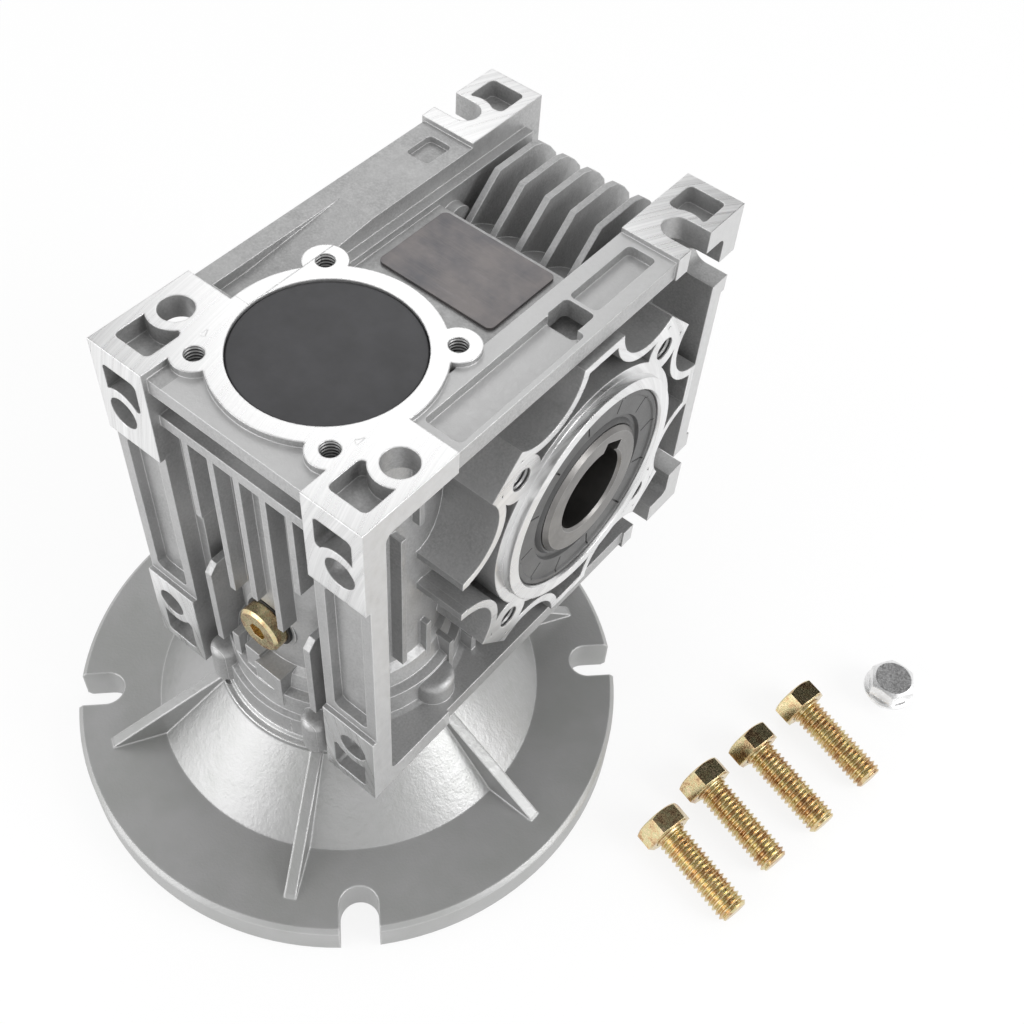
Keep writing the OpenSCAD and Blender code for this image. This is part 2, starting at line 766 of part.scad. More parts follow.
module motor_flange() color([0.62, 0.62, 0.63]) {
    lead_in = 1.2;
    difference() {
        union() {
            turned_z([[0, 0], [flange_r - lead_in, 0], [flange_r, lead_in],
                [flange_r, flange_t - lead_in], [flange_r - lead_in, flange_t],
                [cone_d / 2, flange_t], [neck_d / 2, cone_top], [neck_d / 2, neck_z],
                [36.6, neck_z], [36.2, flange_h], [input_bearing_od / 2 - seat_fit, flange_h],
                [input_bearing_od / 2 - seat_fit, flange_h + flange_spigot_h],
                [0, flange_h + flange_spigot_h]]);
            for (i = [0 : gusset_count - 1])
                rotate(i * 360 / gusset_count) gusset();
        }
        // Motor pilot, the cone's hollow and the seat of the seal
        turned_z([[0, -past], [motor_pilot_d / 2, -past], [motor_pilot_d / 2, motor_pilot_h],
            [cone_d / 2 - 8, motor_pilot_h], [24, hub_floor], [0, hub_floor]]);
        turned_z([[0, hub_floor - past], [input_seal_od / 2 - 2.5, hub_floor - past],
            [input_seal_od / 2 - 2.5, seal_base], [seal_seat_r, seal_base],
            [seal_seat_r, flange_h + flange_spigot_h + past],
            [0, flange_h + flange_spigot_h + past]]);
        for (i = [0 : flange_screw_count - 1])
            rotate(i * 360 / flange_screw_count) translate([flange_screw_pcd / 2, 0, 0]) {
                translate([0, 0, motor_pilot_h - past])
                    cylinder(h = hub_floor - motor_pilot_h + past, r = screw_head_r + 0.6,
                        $fn = 32);
                cylinder(h = flange_h + past, r = screw_d / 2 + 0.3, $fn = 32);
            }
        // Open slots for the motor bolts
        for (a = [45 : 90 : 315]) rotate(a) translate([motor_pcd / 2, 0, -past]) {
            cylinder(h = flange_t + 2 * past, d = motor_slot_w, $fn = round_fn);
            translate([0, -motor_slot_w / 2, 0]) cube([20, motor_slot_w, flange_t + 2 * past]);
        }
    }
}

// Rib on the cone, from the neck down to the disc
module gusset() {
    tip = cone_d / 2 + 16;
    foot = flange_t - join;
    translate([0, gusset_t / 2, 0]) rotate([90, 0, 0]) linear_extrude(gusset_t)
        polygon([[neck_d / 2 - 3, foot], [tip, foot], [tip - 1, flange_t + 0.8],
            [neck_d / 2 + 0.5, neck_z - 0.3], [neck_d / 2 - 3, neck_z - 0.3]]);
}

module motor_flange_screws() color([0.25, 0.25, 0.27]) {
    for (i = [0 : flange_screw_count - 1])
        rotate(i * 360 / flange_screw_count)
            translate([flange_screw_pcd / 2, 0, hub_floor]) socket_screw(flange_screw_l);
}

// Bearings, along +Z from their own base

function pitch_r(bore, outer) = (bore + outer) / 4;
function ball_r(bore, outer) = (outer - bore) * ball_share / 2;
function land(bore, outer) = ball_r(bore, outer) * land_share;

module groove(bore, outer, width) {
    translate([0, 0, width / 2]) rotate_extrude($fn = round_fn)
        translate([pitch_r(bore, outer), 0]) circle(ball_r(bore, outer) + ball_fit, $fn = 32);
}

module ring(r0, r1, h) {
    c = 0.6;
    rotate_extrude($fn = round_fn)
        polygon([[r0 + c, 0], [r1 - c, 0], [r1, c], [r1, h - c], [r1 - c, h], [r0 + c, h],
            [r0, h - c], [r0, c]]);
}

module outer_race(bore, outer, width) {
    difference() {
        ring(pitch_r(bore, outer) + land(bore, outer), outer / 2, width);
        groove(bore, outer, width);
    }
}

module inner_race(bore, outer, width) {
    difference() {
        ring(bore / 2 + seat_fit, pitch_r(bore, outer) - land(bore, outer), width);
        groove(bore, outer, width);
    }
}

module balls(bore, outer, width, count) {
    translate([0, 0, width / 2]) for (i = [0 : count - 1])
        rotate(i * 360 / count) translate([pitch_r(bore, outer), 0, 0])
            sphere(ball_r(bore, outer), $fn = 32);
}

module cage(bore, outer, width, count) {
    half = ball_r(bore, outer) * 1.2;
    middle = pitch_r(bore, outer);
    difference() {
        translate([0, 0, width / 2 - half]) ring(middle - 1.2, middle + 1.2, 2 * half);
        translate([0, 0, width / 2]) for (i = [0 : count - 1])
            rotate(i * 360 / count) translate([middle - 3, 0, 0]) rotate([0, 90, 0])
                cylinder(h = 6, r = ball_r(bore, outer) + 0.1, $fn = 32);
    }
}

output_balls = 12;
input_balls = 11;
rear_balls = 8;

module at_rear() {
    translate([0, 0, rear_bearing_base]) children();
}

module at_input() {
    translate([0, 0, input_bearing_base]) children();
}

module at_right() {
    translate([bearing_in, centre_distance, axis_z]) rotate([0, 90, 0]) children();
}

module at_left() {
    mirror([1, 0, 0]) at_right() children();
}

race_colour = [0.72, 0.73, 0.75];
ball_colour = [0.82, 0.83, 0.85];
cage_colour = [0.6, 0.58, 0.52];

module rear_bearing_outer_race() color(race_colour)
    at_rear() outer_race(rear_journal_d, rear_bearing_od, rear_bearing_w);
module rear_bearing_inner_race() color(race_colour)
    at_rear() inner_race(rear_journal_d, rear_bearing_od, rear_bearing_w);
module rear_bearing_balls() color(ball_colour)
    at_rear() balls(rear_journal_d, rear_bearing_od, rear_bearing_w, rear_balls);
module rear_bearing_cage() color(cage_colour)
    at_rear() cage(rear_journal_d, rear_bearing_od, rear_bearing_w, rear_balls);

module input_bearing_outer_race() color(race_colour)
    at_input() outer_race(input_journal_d, input_bearing_od, input_bearing_w);
module input_bearing_inner_race() color(race_colour)
    at_input() inner_race(input_journal_d, input_bearing_od, input_bearing_w);
module input_bearing_balls() color(ball_colour)
    at_input() balls(input_journal_d, input_bearing_od, input_bearing_w, input_balls);
module input_bearing_cage() color(cage_colour)
    at_input() cage(input_journal_d, input_bearing_od, input_bearing_w, input_balls);

module right_bearing_outer_race() color(race_colour)
    at_right() outer_race(shaft_d, output_bearing_od, output_bearing_w);
module right_bearing_inner_race() color(race_colour)
    at_right() inner_race(shaft_d, output_bearing_od, output_bearing_w);
module right_bearing_balls() color(ball_colour)
    at_right() balls(shaft_d, output_bearing_od, output_bearing_w, output_balls);
module right_bearing_cage() color(cage_colour)
    at_right() cage(shaft_d, output_bearing_od, output_bearing_w, output_balls);

module left_bearing_outer_race() color(race_colour)
    at_left() outer_race(shaft_d, output_bearing_od, output_bearing_w);
module left_bearing_inner_race() color(race_colour)
    at_left() inner_race(shaft_d, output_bearing_od, output_bearing_w);
module left_bearing_balls() color(ball_colour)
    at_left() balls(shaft_d, output_bearing_od, output_bearing_w, output_balls);
module left_bearing_cage() color(cage_colour)
    at_left() cage(shaft_d, output_bearing_od, output_bearing_w, output_balls);

// Ring that holds the input bearing, with its gap and two eyes
module input_circlip() color([0.3, 0.3, 0.32]) {
    outer = input_bearing_od / 2 + circlip_depth - 0.1;
    inner = input_bearing_od / 2 - 3;
    translate([0, 0, input_bearing_base - circlip_t]) linear_extrude(circlip_t - 0.1) difference() {
        union() {
            difference() {
                circle(outer, $fn = round_fn);
                circle(inner, $fn = round_fn);
            }
            for (a = [-1, 1]) rotate(90 + a * 12) translate([inner - 1, 0]) circle(3, $fn = 32);
        }
        rotate(90) translate([0, -2.4]) square([outer + past, 4.8]);
        for (a = [-1, 1]) rotate(90 + a * 12) translate([inner - 1, 0]) circle(1.1, $fn = 24);
    }
}

// Lip seals: a rubber ring with a thin lip that runs on the shaft

module lip_seal(shaft, outer, width) {
    r0 = shaft / 2 + running_fit;
    r1 = outer / 2;
    rotate_extrude($fn = round_fn)
        polygon([[r0 + 1.6, 0], [r1 - 0.5, 0], [r1, 0.5], [r1, width - 0.5], [r1 - 0.5, width],
            [r1 - 1.8, width], [r1 - 2.2, width - 0.5], [r0 + 3, width - 0.5],
            [r0 + 2.6, width - 1.6], [r0 + 1.5, width - 1.6], [r0 + 0.6, width - 0.2],
            [r0, width - 0.6], [r0 + 0.7, width - 2.4], [r0, width / 2 - 0.6],
            [r0 + 1.2, 1.4]]);
}

module output_seal() {
    difference() {
        translate([seal_in, centre_distance, axis_z]) rotate([0, 90, 0])
            lip_seal(shaft_d, output_seal_od, output_seal_w);
        // Radial slits in the outer face
        at_output() for (i = [0 : 11]) rotate([i * 30 + 8, 0, 0])
            translate([seal_out - 1, shaft_d / 2 + 4, -0.25]) cube([past + 1, 5.6, 0.5]);
    }
}

module right_output_seal() color([0.35, 0.35, 0.36]) output_seal();
module left_output_seal() color([0.35, 0.35, 0.36]) mirror([1, 0, 0]) output_seal();

module input_seal() color([0.2, 0.2, 0.21]) {
    translate([0, 0, seal_base + input_seal_w + 0.1]) mirror([0, 0, 1])
        lip_seal(input_journal_d, input_seal_od, input_seal_w);
}

module rear_cap() color([0.13, 0.13, 0.15]) {
    r = rear_bearing_od / 2;
    turned_z([[0, cap_base + 3], [r - 4, cap_base + 3], [r - 4, cap_base], [r, cap_base],
        [r, cap_top - 0.5], [r - 0.5, cap_top], [0, cap_top]]);
}

// Output shaft and wheel

module hollow_output_shaft() color([0.5, 0.5, 0.52]) {
    r = shaft_d / 2;
    c = 1.2;
    collar = r + 3.6;
    bore = output_bore_d / 2;
    half_rim = rim_w / 2;
    difference() {
        turned_x([[bore + 0.8, -half_shaft], [r - c, -half_shaft], [r, -half_shaft + c],
            [r, -bearing_in], [collar, -bearing_in], [collar, -half_rim + 4],
            [hub_r - 5, -half_rim + 5.5], [hub_r - 3, -half_rim], [hub_r, -half_rim],
            [hub_r, half_rim], [hub_r - 3, half_rim], [hub_r - 5, half_rim - 5.5],
            [collar, half_rim - 4], [collar, bearing_in], [r, bearing_in],
            [r, half_shaft - c], [r - c, half_shaft], [bore + 0.8, half_shaft],
            [bore, half_shaft - 0.8], [bore, -half_shaft + 0.8]]);
        at_output() rotate([output_key_turn, 0, 0])
            translate([-half_shaft - past, 0, -output_key_w / 2])
                cube([shaft_l + 2 * past, output_key_t - bore, output_key_w]);
    }
}

// Half thickness of a wheel tooth, as an arc at radius r of the middle plane
function tooth_half(r) = (180 / wheel_teeth / 2 * PI / 180 - backlash / 4 / wheel_pitch_r
    + involute(pressure_angle) - involute(flank_angle(r))) * r;

// Root and tip of a wheel tooth in the plane x = c
function wheel_root(c) = centre_distance - sqrt(pow(worm_tip_r + root_gap, 2) - c * c);
function wheel_tip(c) = let(throat = centre_distance - wheel_throat_r)
    min(wheel_outer_r, abs(c) < throat - 0.01
        ? centre_distance - sqrt(throat * throat - c * c) : wheel_outer_r);

// Point on a tooth flank: plane c, level from root 0 to tip 1, side -1 or 1
function flank_point(c, level, side, tooth) =
    let(r = wheel_root(c) + (wheel_tip(c) - wheel_root(c)) * level,
        y = centre_distance - r,
        worm_r = sqrt(c * c + y * y),
        shift = -lead / 360 * atan2(c, y),
        half = tooth_half(centre_distance - worm_r) - crowning * level * pow(2 * c / rim_w, 2),
        turn = tooth * 360 / wheel_teeth + (shift + side * half) / r * 180 / PI)
    [c, centre_distance - r * cos(turn), axis_z + r * sin(turn)];

flank_levels = [[0, -1], [0.3, -1], [0.65, -1], [1, -1], [1, 1], [0.65, 1], [0.3, 1], [0, 1]];
rim_planes = [-1, -0.8, -0.55, -0.28, 0, 0.28, 0.55, 0.8, 1];

module worm_wheel_rim() color([0.72, 0.53, 0.28]) {
    columns = wheel_teeth * len(flank_levels);
    rows = len(rim_planes);
    points = concat(
        [for (p = rim_planes, t = [0 : wheel_teeth - 1], f = flank_levels)
            flank_point(p * rim_w / 2, f[0], f[1], t)],
        [[-rim_w / 2, centre_distance, axis_z], [rim_w / 2, centre_distance, axis_z]]);
    sides = [for (j = [0 : rows - 2], i = [0 : columns - 1], half = [0, 1])
        let(k = (i + 1) % columns, a = j * columns, b = a + columns)
        half == 0 ? [a + i, b + k, b + i] : [a + i, a + k, b + k]];
    ends = [for (i = [0 : columns - 1], last = [0, 1])
        let(k = (i + 1) % columns, a = last * (rows - 1) * columns, c = rows * columns + last)
        last == 0 ? [c, a + k, a + i] : [c, a + i, a + k]];
    difference() {
        polyhedron(points = points, faces = concat(sides, ends), convexity = 6);
        at_output() rotate([0, 90, 0]) translate([0, 0, -rim_w])
            cylinder(h = 2 * rim_w, r = hub_r + seat_fit, $fn = 64);
    }
}

// Worm

// Half thickness of the thread at radius r, along the axis
function thread_half(r) = axial_pitch / 4 - backlash / 4
    - (r - worm_pitch_d / 2) * tan(pressure_angle);

// Thread outline across the axis: distance along the axis from the thread's middle, and radius
function thread_outline() =
    let(tip = thread_half(worm_tip_r), mid = thread_half(worm_pitch_d / 2),
        root = thread_half(worm_root_r))
    [[-axial_pitch / 2, worm_root_r], [-root, worm_root_r], [-mid, worm_pitch_d / 2],
        [-tip, worm_tip_r], [-tip / 3, worm_tip_r], [tip / 3, worm_tip_r], [tip, worm_tip_r],
        [mid, worm_pitch_d / 2], [root, worm_root_r]];

module worm_thread() {
    outline = thread_outline();
    columns = len(outline) * worm_starts;
    rows = ceil(thread_l / lead * 30) + 1;
    gap_turn = 90 + 180 / worm_starts;
    points = [for (j = [0 : rows - 1], s = [0 : worm_starts - 1], q = outline)
        let(z = (j / (rows - 1) - 0.5) * thread_l,
            from_end = thread_l / 2 - abs(z),
            r = min(q[1], worm_root_r + 0.8 + from_end * 1.6),
            turn = gap_turn + 360 * (z - q[0] - s * axial_pitch) / lead)
        [r * cos(turn), r * sin(turn), axis_z + z]];
    sides = [for (j = [0 : rows - 2], i = [0 : columns - 1], half = [0, 1])
        let(k = (i + 1) % columns, a = j * columns, b = a + columns)
        half == 0 ? [a + i, b + i, b + k] : [a + i, b + k, a + k]];
    ends = [[for (i = [0 : columns - 1]) columns - 1 - i],
        [for (i = [0 : columns - 1]) (rows - 1) * columns + i]];
    polyhedron(points = points, faces = concat(sides, [ends[1], ends[0]]), convexity = 8);
}

module worm_shaft() color([0.6, 0.6, 0.62]) {
    journal = input_journal_d / 2;
    rear = rear_journal_d / 2;
    bore = motor_bore_d / 2;
    difference() {
        union() {
            worm_thread();
            turned_z([[0, worm_end], [journal - 1, worm_end], [journal, worm_end + 1],
                [journal, input_bearing_top], [collar_r, input_bearing_top],
                [collar_r, thread_base - 5], [worm_root_r + 1, thread_base],
                [worm_root_r - 0.6, thread_base], [worm_root_r - 0.6, thread_top],
                [worm_root_r + 1, thread_top], [rear_collar_r, thread_top + 3],
                [rear_collar_r, rear_bearing_base], [rear, rear_bearing_base],
                [rear, cap_base - 1.5], [rear - 1, cap_base - 0.5], [0, cap_base - 0.5]]);
        }
        translate([0, 0, worm_end - past])
            cylinder(h = motor_bore_top - worm_end + past, r = bore, $fn = round_fn);
        translate([0, -motor_key_w / 2, worm_end - past])
            cube([bore + motor_key_h, motor_key_w, motor_bore_top - worm_end + past]);
    }
}

// Plugs, plate and loose bolts

module oil_plug() color([0.72, 0.6, 0.3]) {
    translate([0, plug_seat - 1, flange_h + plug_z]) rotate([90, 0, 0]) {
        difference() {
            turned_z([[0, 0], [plug_head_d / 2, 0], [plug_head_d / 2, 3.4],
                [plug_head_d / 2 - 0.8, 4.2], [0, 4.2]]);
            translate([0, 0, 1.6]) cylinder(h = 4, r = 2.9, $fn = 6);
        }
        translate([0, 0, -10]) cylinder(h = 10 + join, d = plug_thread_d, $fn = 32);
    }
}

module oil_plug_washer() color([0.2, 0.2, 0.2]) {
    translate([0, plug_seat, flange_h + plug_z]) rotate([90, 0, 0]) difference() {
        cylinder(h = 0.9, r = plug_head_d / 2 + 0.8, $fn = round_fn);
        translate([0, 0, -past]) cylinder(h = 3, r = plug_thread_d / 2 + 0.1, $fn = 32);
    }
}

module vent_plug() color([0.8, 0.81, 0.83]) {
    translate([vent_place[0], vent_place[1], 0]) {
        cylinder(h = vent_stub_l + join, d = plug_thread_d, $fn = 32);
        translate([0, 0, vent_stub_l]) {
            cylinder(h = 1.6, r = vent_flange_r, $fn = round_fn);
            cylinder(h = 6.5, d = vent_af / cos(30), $fn = 6);
        }
    }
}

module nameplate() color([0.25, 0.25, 0.27]) {
    plate_front = deck_end - 1.5 - plate_w;
    along_z(deck_z, deck_z + plate_t)
        round_rect(-plate_l / 2, plate_l / 2, plate_front, plate_front + plate_w, 1.8);
}

// Hexagon bolt along +X: the head left of the origin
module hex_bolt() {
    rotate([0, 90, 0]) {
        translate([0, 0, -bolt_head_h]) rotate(30)
            cylinder(h = bolt_head_h, d = bolt_af / cos(30), $fn = 6);
        translate([0, 0, -join]) cylinder(h = bolt_l + join - 0.8, d = bolt_d, $fn = 32);
        translate([0, 0, bolt_l - 0.8 - join / 2])
            cylinder(h = 0.8 + join / 2, r1 = bolt_d / 2, r2 = bolt_d / 2 - 0.7, $fn = 32);
    }
}

module motor_bolts() color([0.75, 0.62, 0.35]) {
    tilt = asin((bolt_af - bolt_d) / 2 / bolt_l);
    for (p = bolt_places)
        translate([p[0], p[1], bolt_af / 2 * cos(tilt)]) rotate([0, tilt, bolt_turn]) hex_bolt();
}

housing();
side_cover();
side_cover_oring();
side_cover_screws();
motor_flange();
motor_flange_screws();
rear_cap();
rear_bearing_outer_race();
rear_bearing_inner_race();
rear_bearing_balls();
rear_bearing_cage();
input_bearing_outer_race();
input_bearing_inner_race();
input_bearing_balls();
input_bearing_cage();
input_circlip();
input_seal();
right_bearing_outer_race();
right_bearing_inner_race();
right_bearing_balls();
right_bearing_cage();
left_bearing_outer_race();
left_bearing_inner_race();
left_bearing_balls();
left_bearing_cage();
right_output_seal();
left_output_seal();
hollow_output_shaft();
worm_wheel_rim();
worm_shaft();
oil_plug();
oil_plug_washer();
vent_plug();
nameplate();
motor_bolts();
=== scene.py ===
"""Worm gear reducer: finishes, small turned parts and studio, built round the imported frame."""

import json
import math

import bpy
from mathutils import Euler, Matrix, Vector


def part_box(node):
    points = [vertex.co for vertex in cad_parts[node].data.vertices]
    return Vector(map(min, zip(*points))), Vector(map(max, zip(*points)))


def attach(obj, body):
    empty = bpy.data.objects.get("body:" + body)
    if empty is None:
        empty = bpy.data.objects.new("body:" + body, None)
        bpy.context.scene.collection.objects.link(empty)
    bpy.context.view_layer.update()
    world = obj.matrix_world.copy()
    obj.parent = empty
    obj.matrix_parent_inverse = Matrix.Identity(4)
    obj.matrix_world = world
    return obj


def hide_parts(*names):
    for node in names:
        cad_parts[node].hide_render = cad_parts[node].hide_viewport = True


bl_info = {
    "name": "Worm Gear Reducer",
    "version": (1, 0, 0),
    "blender": (4, 5, 0),
    "location": "View3D > Sidebar > Reducer",
    "description": "Dresses a worm gear reducer with its finishes, bolts and plugs",
    "category": "Object",
}

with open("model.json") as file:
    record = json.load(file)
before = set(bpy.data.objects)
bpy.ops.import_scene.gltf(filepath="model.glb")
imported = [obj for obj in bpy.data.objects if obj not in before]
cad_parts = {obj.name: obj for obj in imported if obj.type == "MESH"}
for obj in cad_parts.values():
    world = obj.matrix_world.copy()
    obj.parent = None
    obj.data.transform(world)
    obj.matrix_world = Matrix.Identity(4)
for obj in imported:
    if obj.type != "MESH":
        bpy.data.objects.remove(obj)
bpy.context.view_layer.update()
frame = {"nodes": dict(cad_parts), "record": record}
NODES = frame["nodes"]
MM = 0.001
BODY = "gearbox"

# Places on the casting, in millimetres of the frame
AXIS_Y = 50.0
AXIS_Z = 95.5
LOW_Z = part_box("housing")[0][2] / MM
TOP_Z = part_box("housing")[1][2] / MM
FRONT_Y = -34.0
BACK_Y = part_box("housing")[1][1] / MM
FRAME_X = 42.3
FACE_X = 43.5
CHANNEL_DEPTH = 4.75
LEFT_RAIL_X = -20.0
PILOT_LIP = 1.6
CONE_REACH = 59.0
DISC_Z = 11.5
NEAR = 0.05

# Tapped holes of the rear ring and the output face, on the diagonals of their bolt circles
DIAGONAL = math.sqrt(0.5)
REAR_TAP = 30.0 * DIAGONAL
REAR_TAP_RADIUS = 3.1
REAR_TAP_DEPTH = 12.0
REAR_TAP_PITCH = 1.0
OUTPUT_TAP = 42.5 * DIAGONAL
OUTPUT_TAP_RADIUS = 3.6
OUTPUT_TAP_DEPTH = 17.0
OUTPUT_TAP_PITCH = 1.25
TAP_COUNTERSINK = 0.3

# Centre of the arcs that the milling cutter leaves, and how close they lie
CUTTER_CENTRE = (160.0, 20.0, 95.0)
CUTTER_MARKS = 1.4
MARK_DRIFT = 0.02

# Refraction of oxide skin and of rubber
SKIN_IOR = 1.5

# Hexagon heads: the share of the flats that stays round on top, and the slope of the corners
HEAD_ROUND = 0.95
CORNER_SLOPE = math.tan(math.radians(30))

# Points round each turned piece, and the angle from which an edge stays sharp
TURNED_POINTS = 96
THREAD_POINTS = 48
SHARP_ANGLE = math.radians(20)

# Finished materials by slot, filled by the finishes step
FINISHES = {}


class Flow:
    """A value that changes over a surface: one socket, with arithmetic."""

    def __init__(self, graph, socket):
        self.graph = graph
        self.socket = socket

    def math(self, operation, *others):
        return self.graph.math(operation, self, *others)

    def __add__(self, other):
        return self.math("ADD", other)

    __radd__ = __add__

    def __sub__(self, other):
        return self.math("SUBTRACT", other)

    def __rsub__(self, other):
        return self.graph.math("SUBTRACT", other, self)

    def __mul__(self, other):
        return self.math("MULTIPLY", other)

    __rmul__ = __mul__

    def __pow__(self, other):
        return self.math("POWER", other)

    def __abs__(self):
        return self.math("ABSOLUTE")

    def __gt__(self, other):
        return self.math("GREATER_THAN", other)

    def __lt__(self, other):
        return self.math("LESS_THAN", other)

    def held(self):
        """The same value, held between 0 and 1."""
        return self.graph.math("ADD", self, 0.0, held=True)


class Made:
    """A node that was just made, with its outputs as flows."""

    def __init__(self, graph, node):
        self.graph = graph
        self.node = node

    def out(self, name=0):
        return Flow(self.graph, self.node.outputs[name])


class Graph:
    """A node tree that nodes are added to."""

    def __init__(self, tree):
        self.tree = tree

    def node(self, kind, settings, *values, **named):
        """New node: its settings first, then a value or a link for each socket."""
        node = self.tree.nodes.new(kind)
        for setting, value in settings.items():
            if setting == "stops":
                self.fill_ramp(node.color_ramp, value)
            else:
                setattr(node, setting, value)
        for index, value in enumerate(values):
            self.feed(node.inputs[index], value)
        for name, value in named.items():
            self.feed(node.inputs[name.replace("_", " ")], value)
        return Made(self, node)

    def feed(self, socket, value):
        if isinstance(value, Flow):
            self.tree.links.new(value.socket, socket)
        else:
            socket.default_value = value

    def fill_ramp(self, ramp, stops):
        while len(ramp.elements) < len(stops):
            ramp.elements.new(0.5)
        for element, (place, tone) in zip(ramp.elements, stops):
            element.position = place
            element.color = tone

    def math(self, operation, *values, held=False):
        settings = {"operation": operation, "use_clamp": held}
        return self.node("ShaderNodeMath", settings, *values).out()

    def seen(self):
        """1 for a ray that shows the surroundings: straight, in metal or through glass."""
        ray = self.node("ShaderNodeLightPath", {})
        return (ray.out("Is Camera Ray") + ray.out("Is Glossy Ray")
                + ray.out("Is Transmission Ray")).held()


class Finish(Graph):
    """A procedural material with one Principled shader."""

    # Sockets of a node that mixes two colours, and its result
    mix_sockets = (0, 6, 7)
    mix_result = 2

    def __init__(self, name, **fixed):
        self.material = bpy.data.materials.new(name)
        self.material.use_nodes = True
        super().__init__(self.material.node_tree)
        self.shader = self.tree.nodes["Principled BSDF"]
        for socket, value in fixed.items():
            self.shader.inputs[socket.replace("_", " ")].default_value = value

    def set(self, name, value):
        self.feed(self.shader.inputs[name], value)

    def place(self):
        """Position in the frame, as a vector in millimetres."""
        where = self.node("ShaderNodeTexCoord", {}).out("Object")
        scaled = self.node("ShaderNodeVectorMath", {"operation": "SCALE"}, where, Scale=1 / MM)
        return scaled.out()

    def parts(self, vector):
        """The three parts of a vector, as three flows."""
        split = self.node("ShaderNodeSeparateXYZ", {}, vector)
        return split.out("X"), split.out("Y"), split.out("Z")

    def joined(self, x, y, z):
        return self.node("ShaderNodeCombineXYZ", {}, x, y, z).out()

    def normal(self):
        """The direction that the surface faces, as three flows."""
        return self.parts(self.node("ShaderNodeNewGeometry", {}).out("Normal"))

    def noise(self, vector, scale, detail=3.0, rough=0.6):
        made = self.node("ShaderNodeTexNoise", {}, Vector=vector, Scale=scale, Detail=detail,
                         Roughness=rough)
        return made.out("Fac")

    def ramp(self, value, stops):
        return self.node("ShaderNodeValToRGB", {"stops": stops}, value).out("Color")

    def span(self, value, low, high, to_low=0.0, to_high=1.0):
        """Value moved from one range to another, and held inside it."""
        made = self.node("ShaderNodeMapRange", {}, value, low, high, to_low, to_high)
        return made.out("Result")

    def blend(self, factor, first, second):
        made = self.node("ShaderNodeMix", {"data_type": "RGBA"})
        for socket, value in zip(self.mix_sockets, (factor, first, second)):
            self.feed(made.node.inputs[socket], value)
        return made.out(self.mix_result)

    def wave(self, value, pitch):
        """Rises and falls between 0 and 1 once in each pitch."""
        return self.math("PINGPONG", value, pitch / 2) * (2 / pitch)

    def bump(self, height, distance, base, strength=0.5):
        """Relief of the given height, a distance in millimetres, on a base normal."""
        made = self.node("ShaderNodeBump", {}, Height=height, Strength=strength,
                         Distance=distance * MM, Normal=base)
        return made.out("Normal")

    def soft_edges(self, radius):
        """Normal that rounds the edges by a radius in millimetres."""
        return self.node("ShaderNodeBevel", {"samples": 6}, Radius=radius * MM).out("Normal")

    def edge_mask(self, rounded):
        """1 along the edges, 0 on flat ground."""
        true = self.node("ShaderNodeNewGeometry", {}).out("Normal")
        dot = self.node("ShaderNodeVectorMath", {"operation": "DOT_PRODUCT"}, rounded, true)
        return self.span(dot.out("Value"), 0.985, 0.90)


def grey(value, warmth=0.0):
    return (value * (1 + warmth), value, value * (1 - warmth), 1.0)


def colour(*rgb):
    return (*rgb, 1.0)


# Finishes


def housing_casting(shade):
    """Cast aluminium: grained skin, bright milled pads, edges lighter from wear and a painted
    highlight, and outer faces painted lighter as painted light.
    """
    finish = Finish("cast_aluminium", IOR=SKIN_IOR)
    where = finish.place()
    x, y, z = finish.parts(where)
    normal = finish.normal()
    milled = housing_pads((x, y, z), normal)
    rounded = finish.soft_edges(0.45)
    grain = finish.noise(where, scale=1.6)
    cloud = finish.noise(where, scale=0.07, rough=0.55)
    pits = finish.noise(where, scale=0.45, detail=4.0)

    skin = finish.blend(finish.span(cloud, 0.35, 0.65), grey(shade * 0.88), grey(shade * 1.06))
    skin = finish.blend(finish.span(grain, 0.35, 0.7), skin, grey(shade * 1.2))
    # Painted light: the frames' outer sides and the upward faces right of the left rail are painted
    # lighter, standing in for the light that falls on them.
    painted_light_mask = painted_light_faces((x, y, z), normal) * finish.span(pits, 0.25, 0.6, 0.7, 1.0)
    skin = finish.blend(painted_light_mask, skin, grey(shade * 1.5))
    # Edges painted lighter: partly edge wear, partly a painted highlight on the rounded edges.
    skin = finish.blend(finish.edge_mask(rounded) * 0.5, skin, grey(0.92))

    streak = finish.noise(cutter_arcs(finish, (x, y, z)), scale=0.5, detail=4.0, rough=0.7)
    bright = finish.blend(finish.span(streak, 0.34, 0.66), grey(0.70), grey(0.93))
    finish.set("Base Color", finish.blend(milled, skin, bright))
    finish.set("Metallic", finish.span(milled, 0.0, 1.0, 0.75, 1.0))

    skin_rough = finish.span(pits, 0.3, 0.7, 0.42, 0.56)
    milled_rough = finish.span(streak, 0.3, 0.7, 0.24, 0.36)
    finish.set("Roughness", skin_rough + milled * (milled_rough - skin_rough))

    relief = (grain * 0.5 + pits) * (1 - milled) + streak * milled * 0.1
    worn = finish.bump(relief, 0.16, rounded, 0.55)
    threads = tapped_threads(finish, (x, y, z))
    finish.set("Normal", finish.bump(threads, 0.5, worn, 1.0))
    return finish.material


def housing_pads(place, normal):
    """1 on the milled faces of the housing."""
    x, y, z = place
    nx, ny, nz = normal
    top = (z > TOP_Z - NEAR) * (nz > 0.5)
    low = (z < LOW_Z + NEAR) * (nz < -0.5)
    front = (abs(y - FRONT_Y) < NEAR) * (ny < -0.5)
    back = (y > BACK_Y - NEAR) * (ny > 0.5)
    side = (abs(x) > FACE_X - NEAR) * (abs(nx) > 0.5)
    pilot = abs(x) > FACE_X + NEAR
    return (top + low + front + back + side + pilot).held()


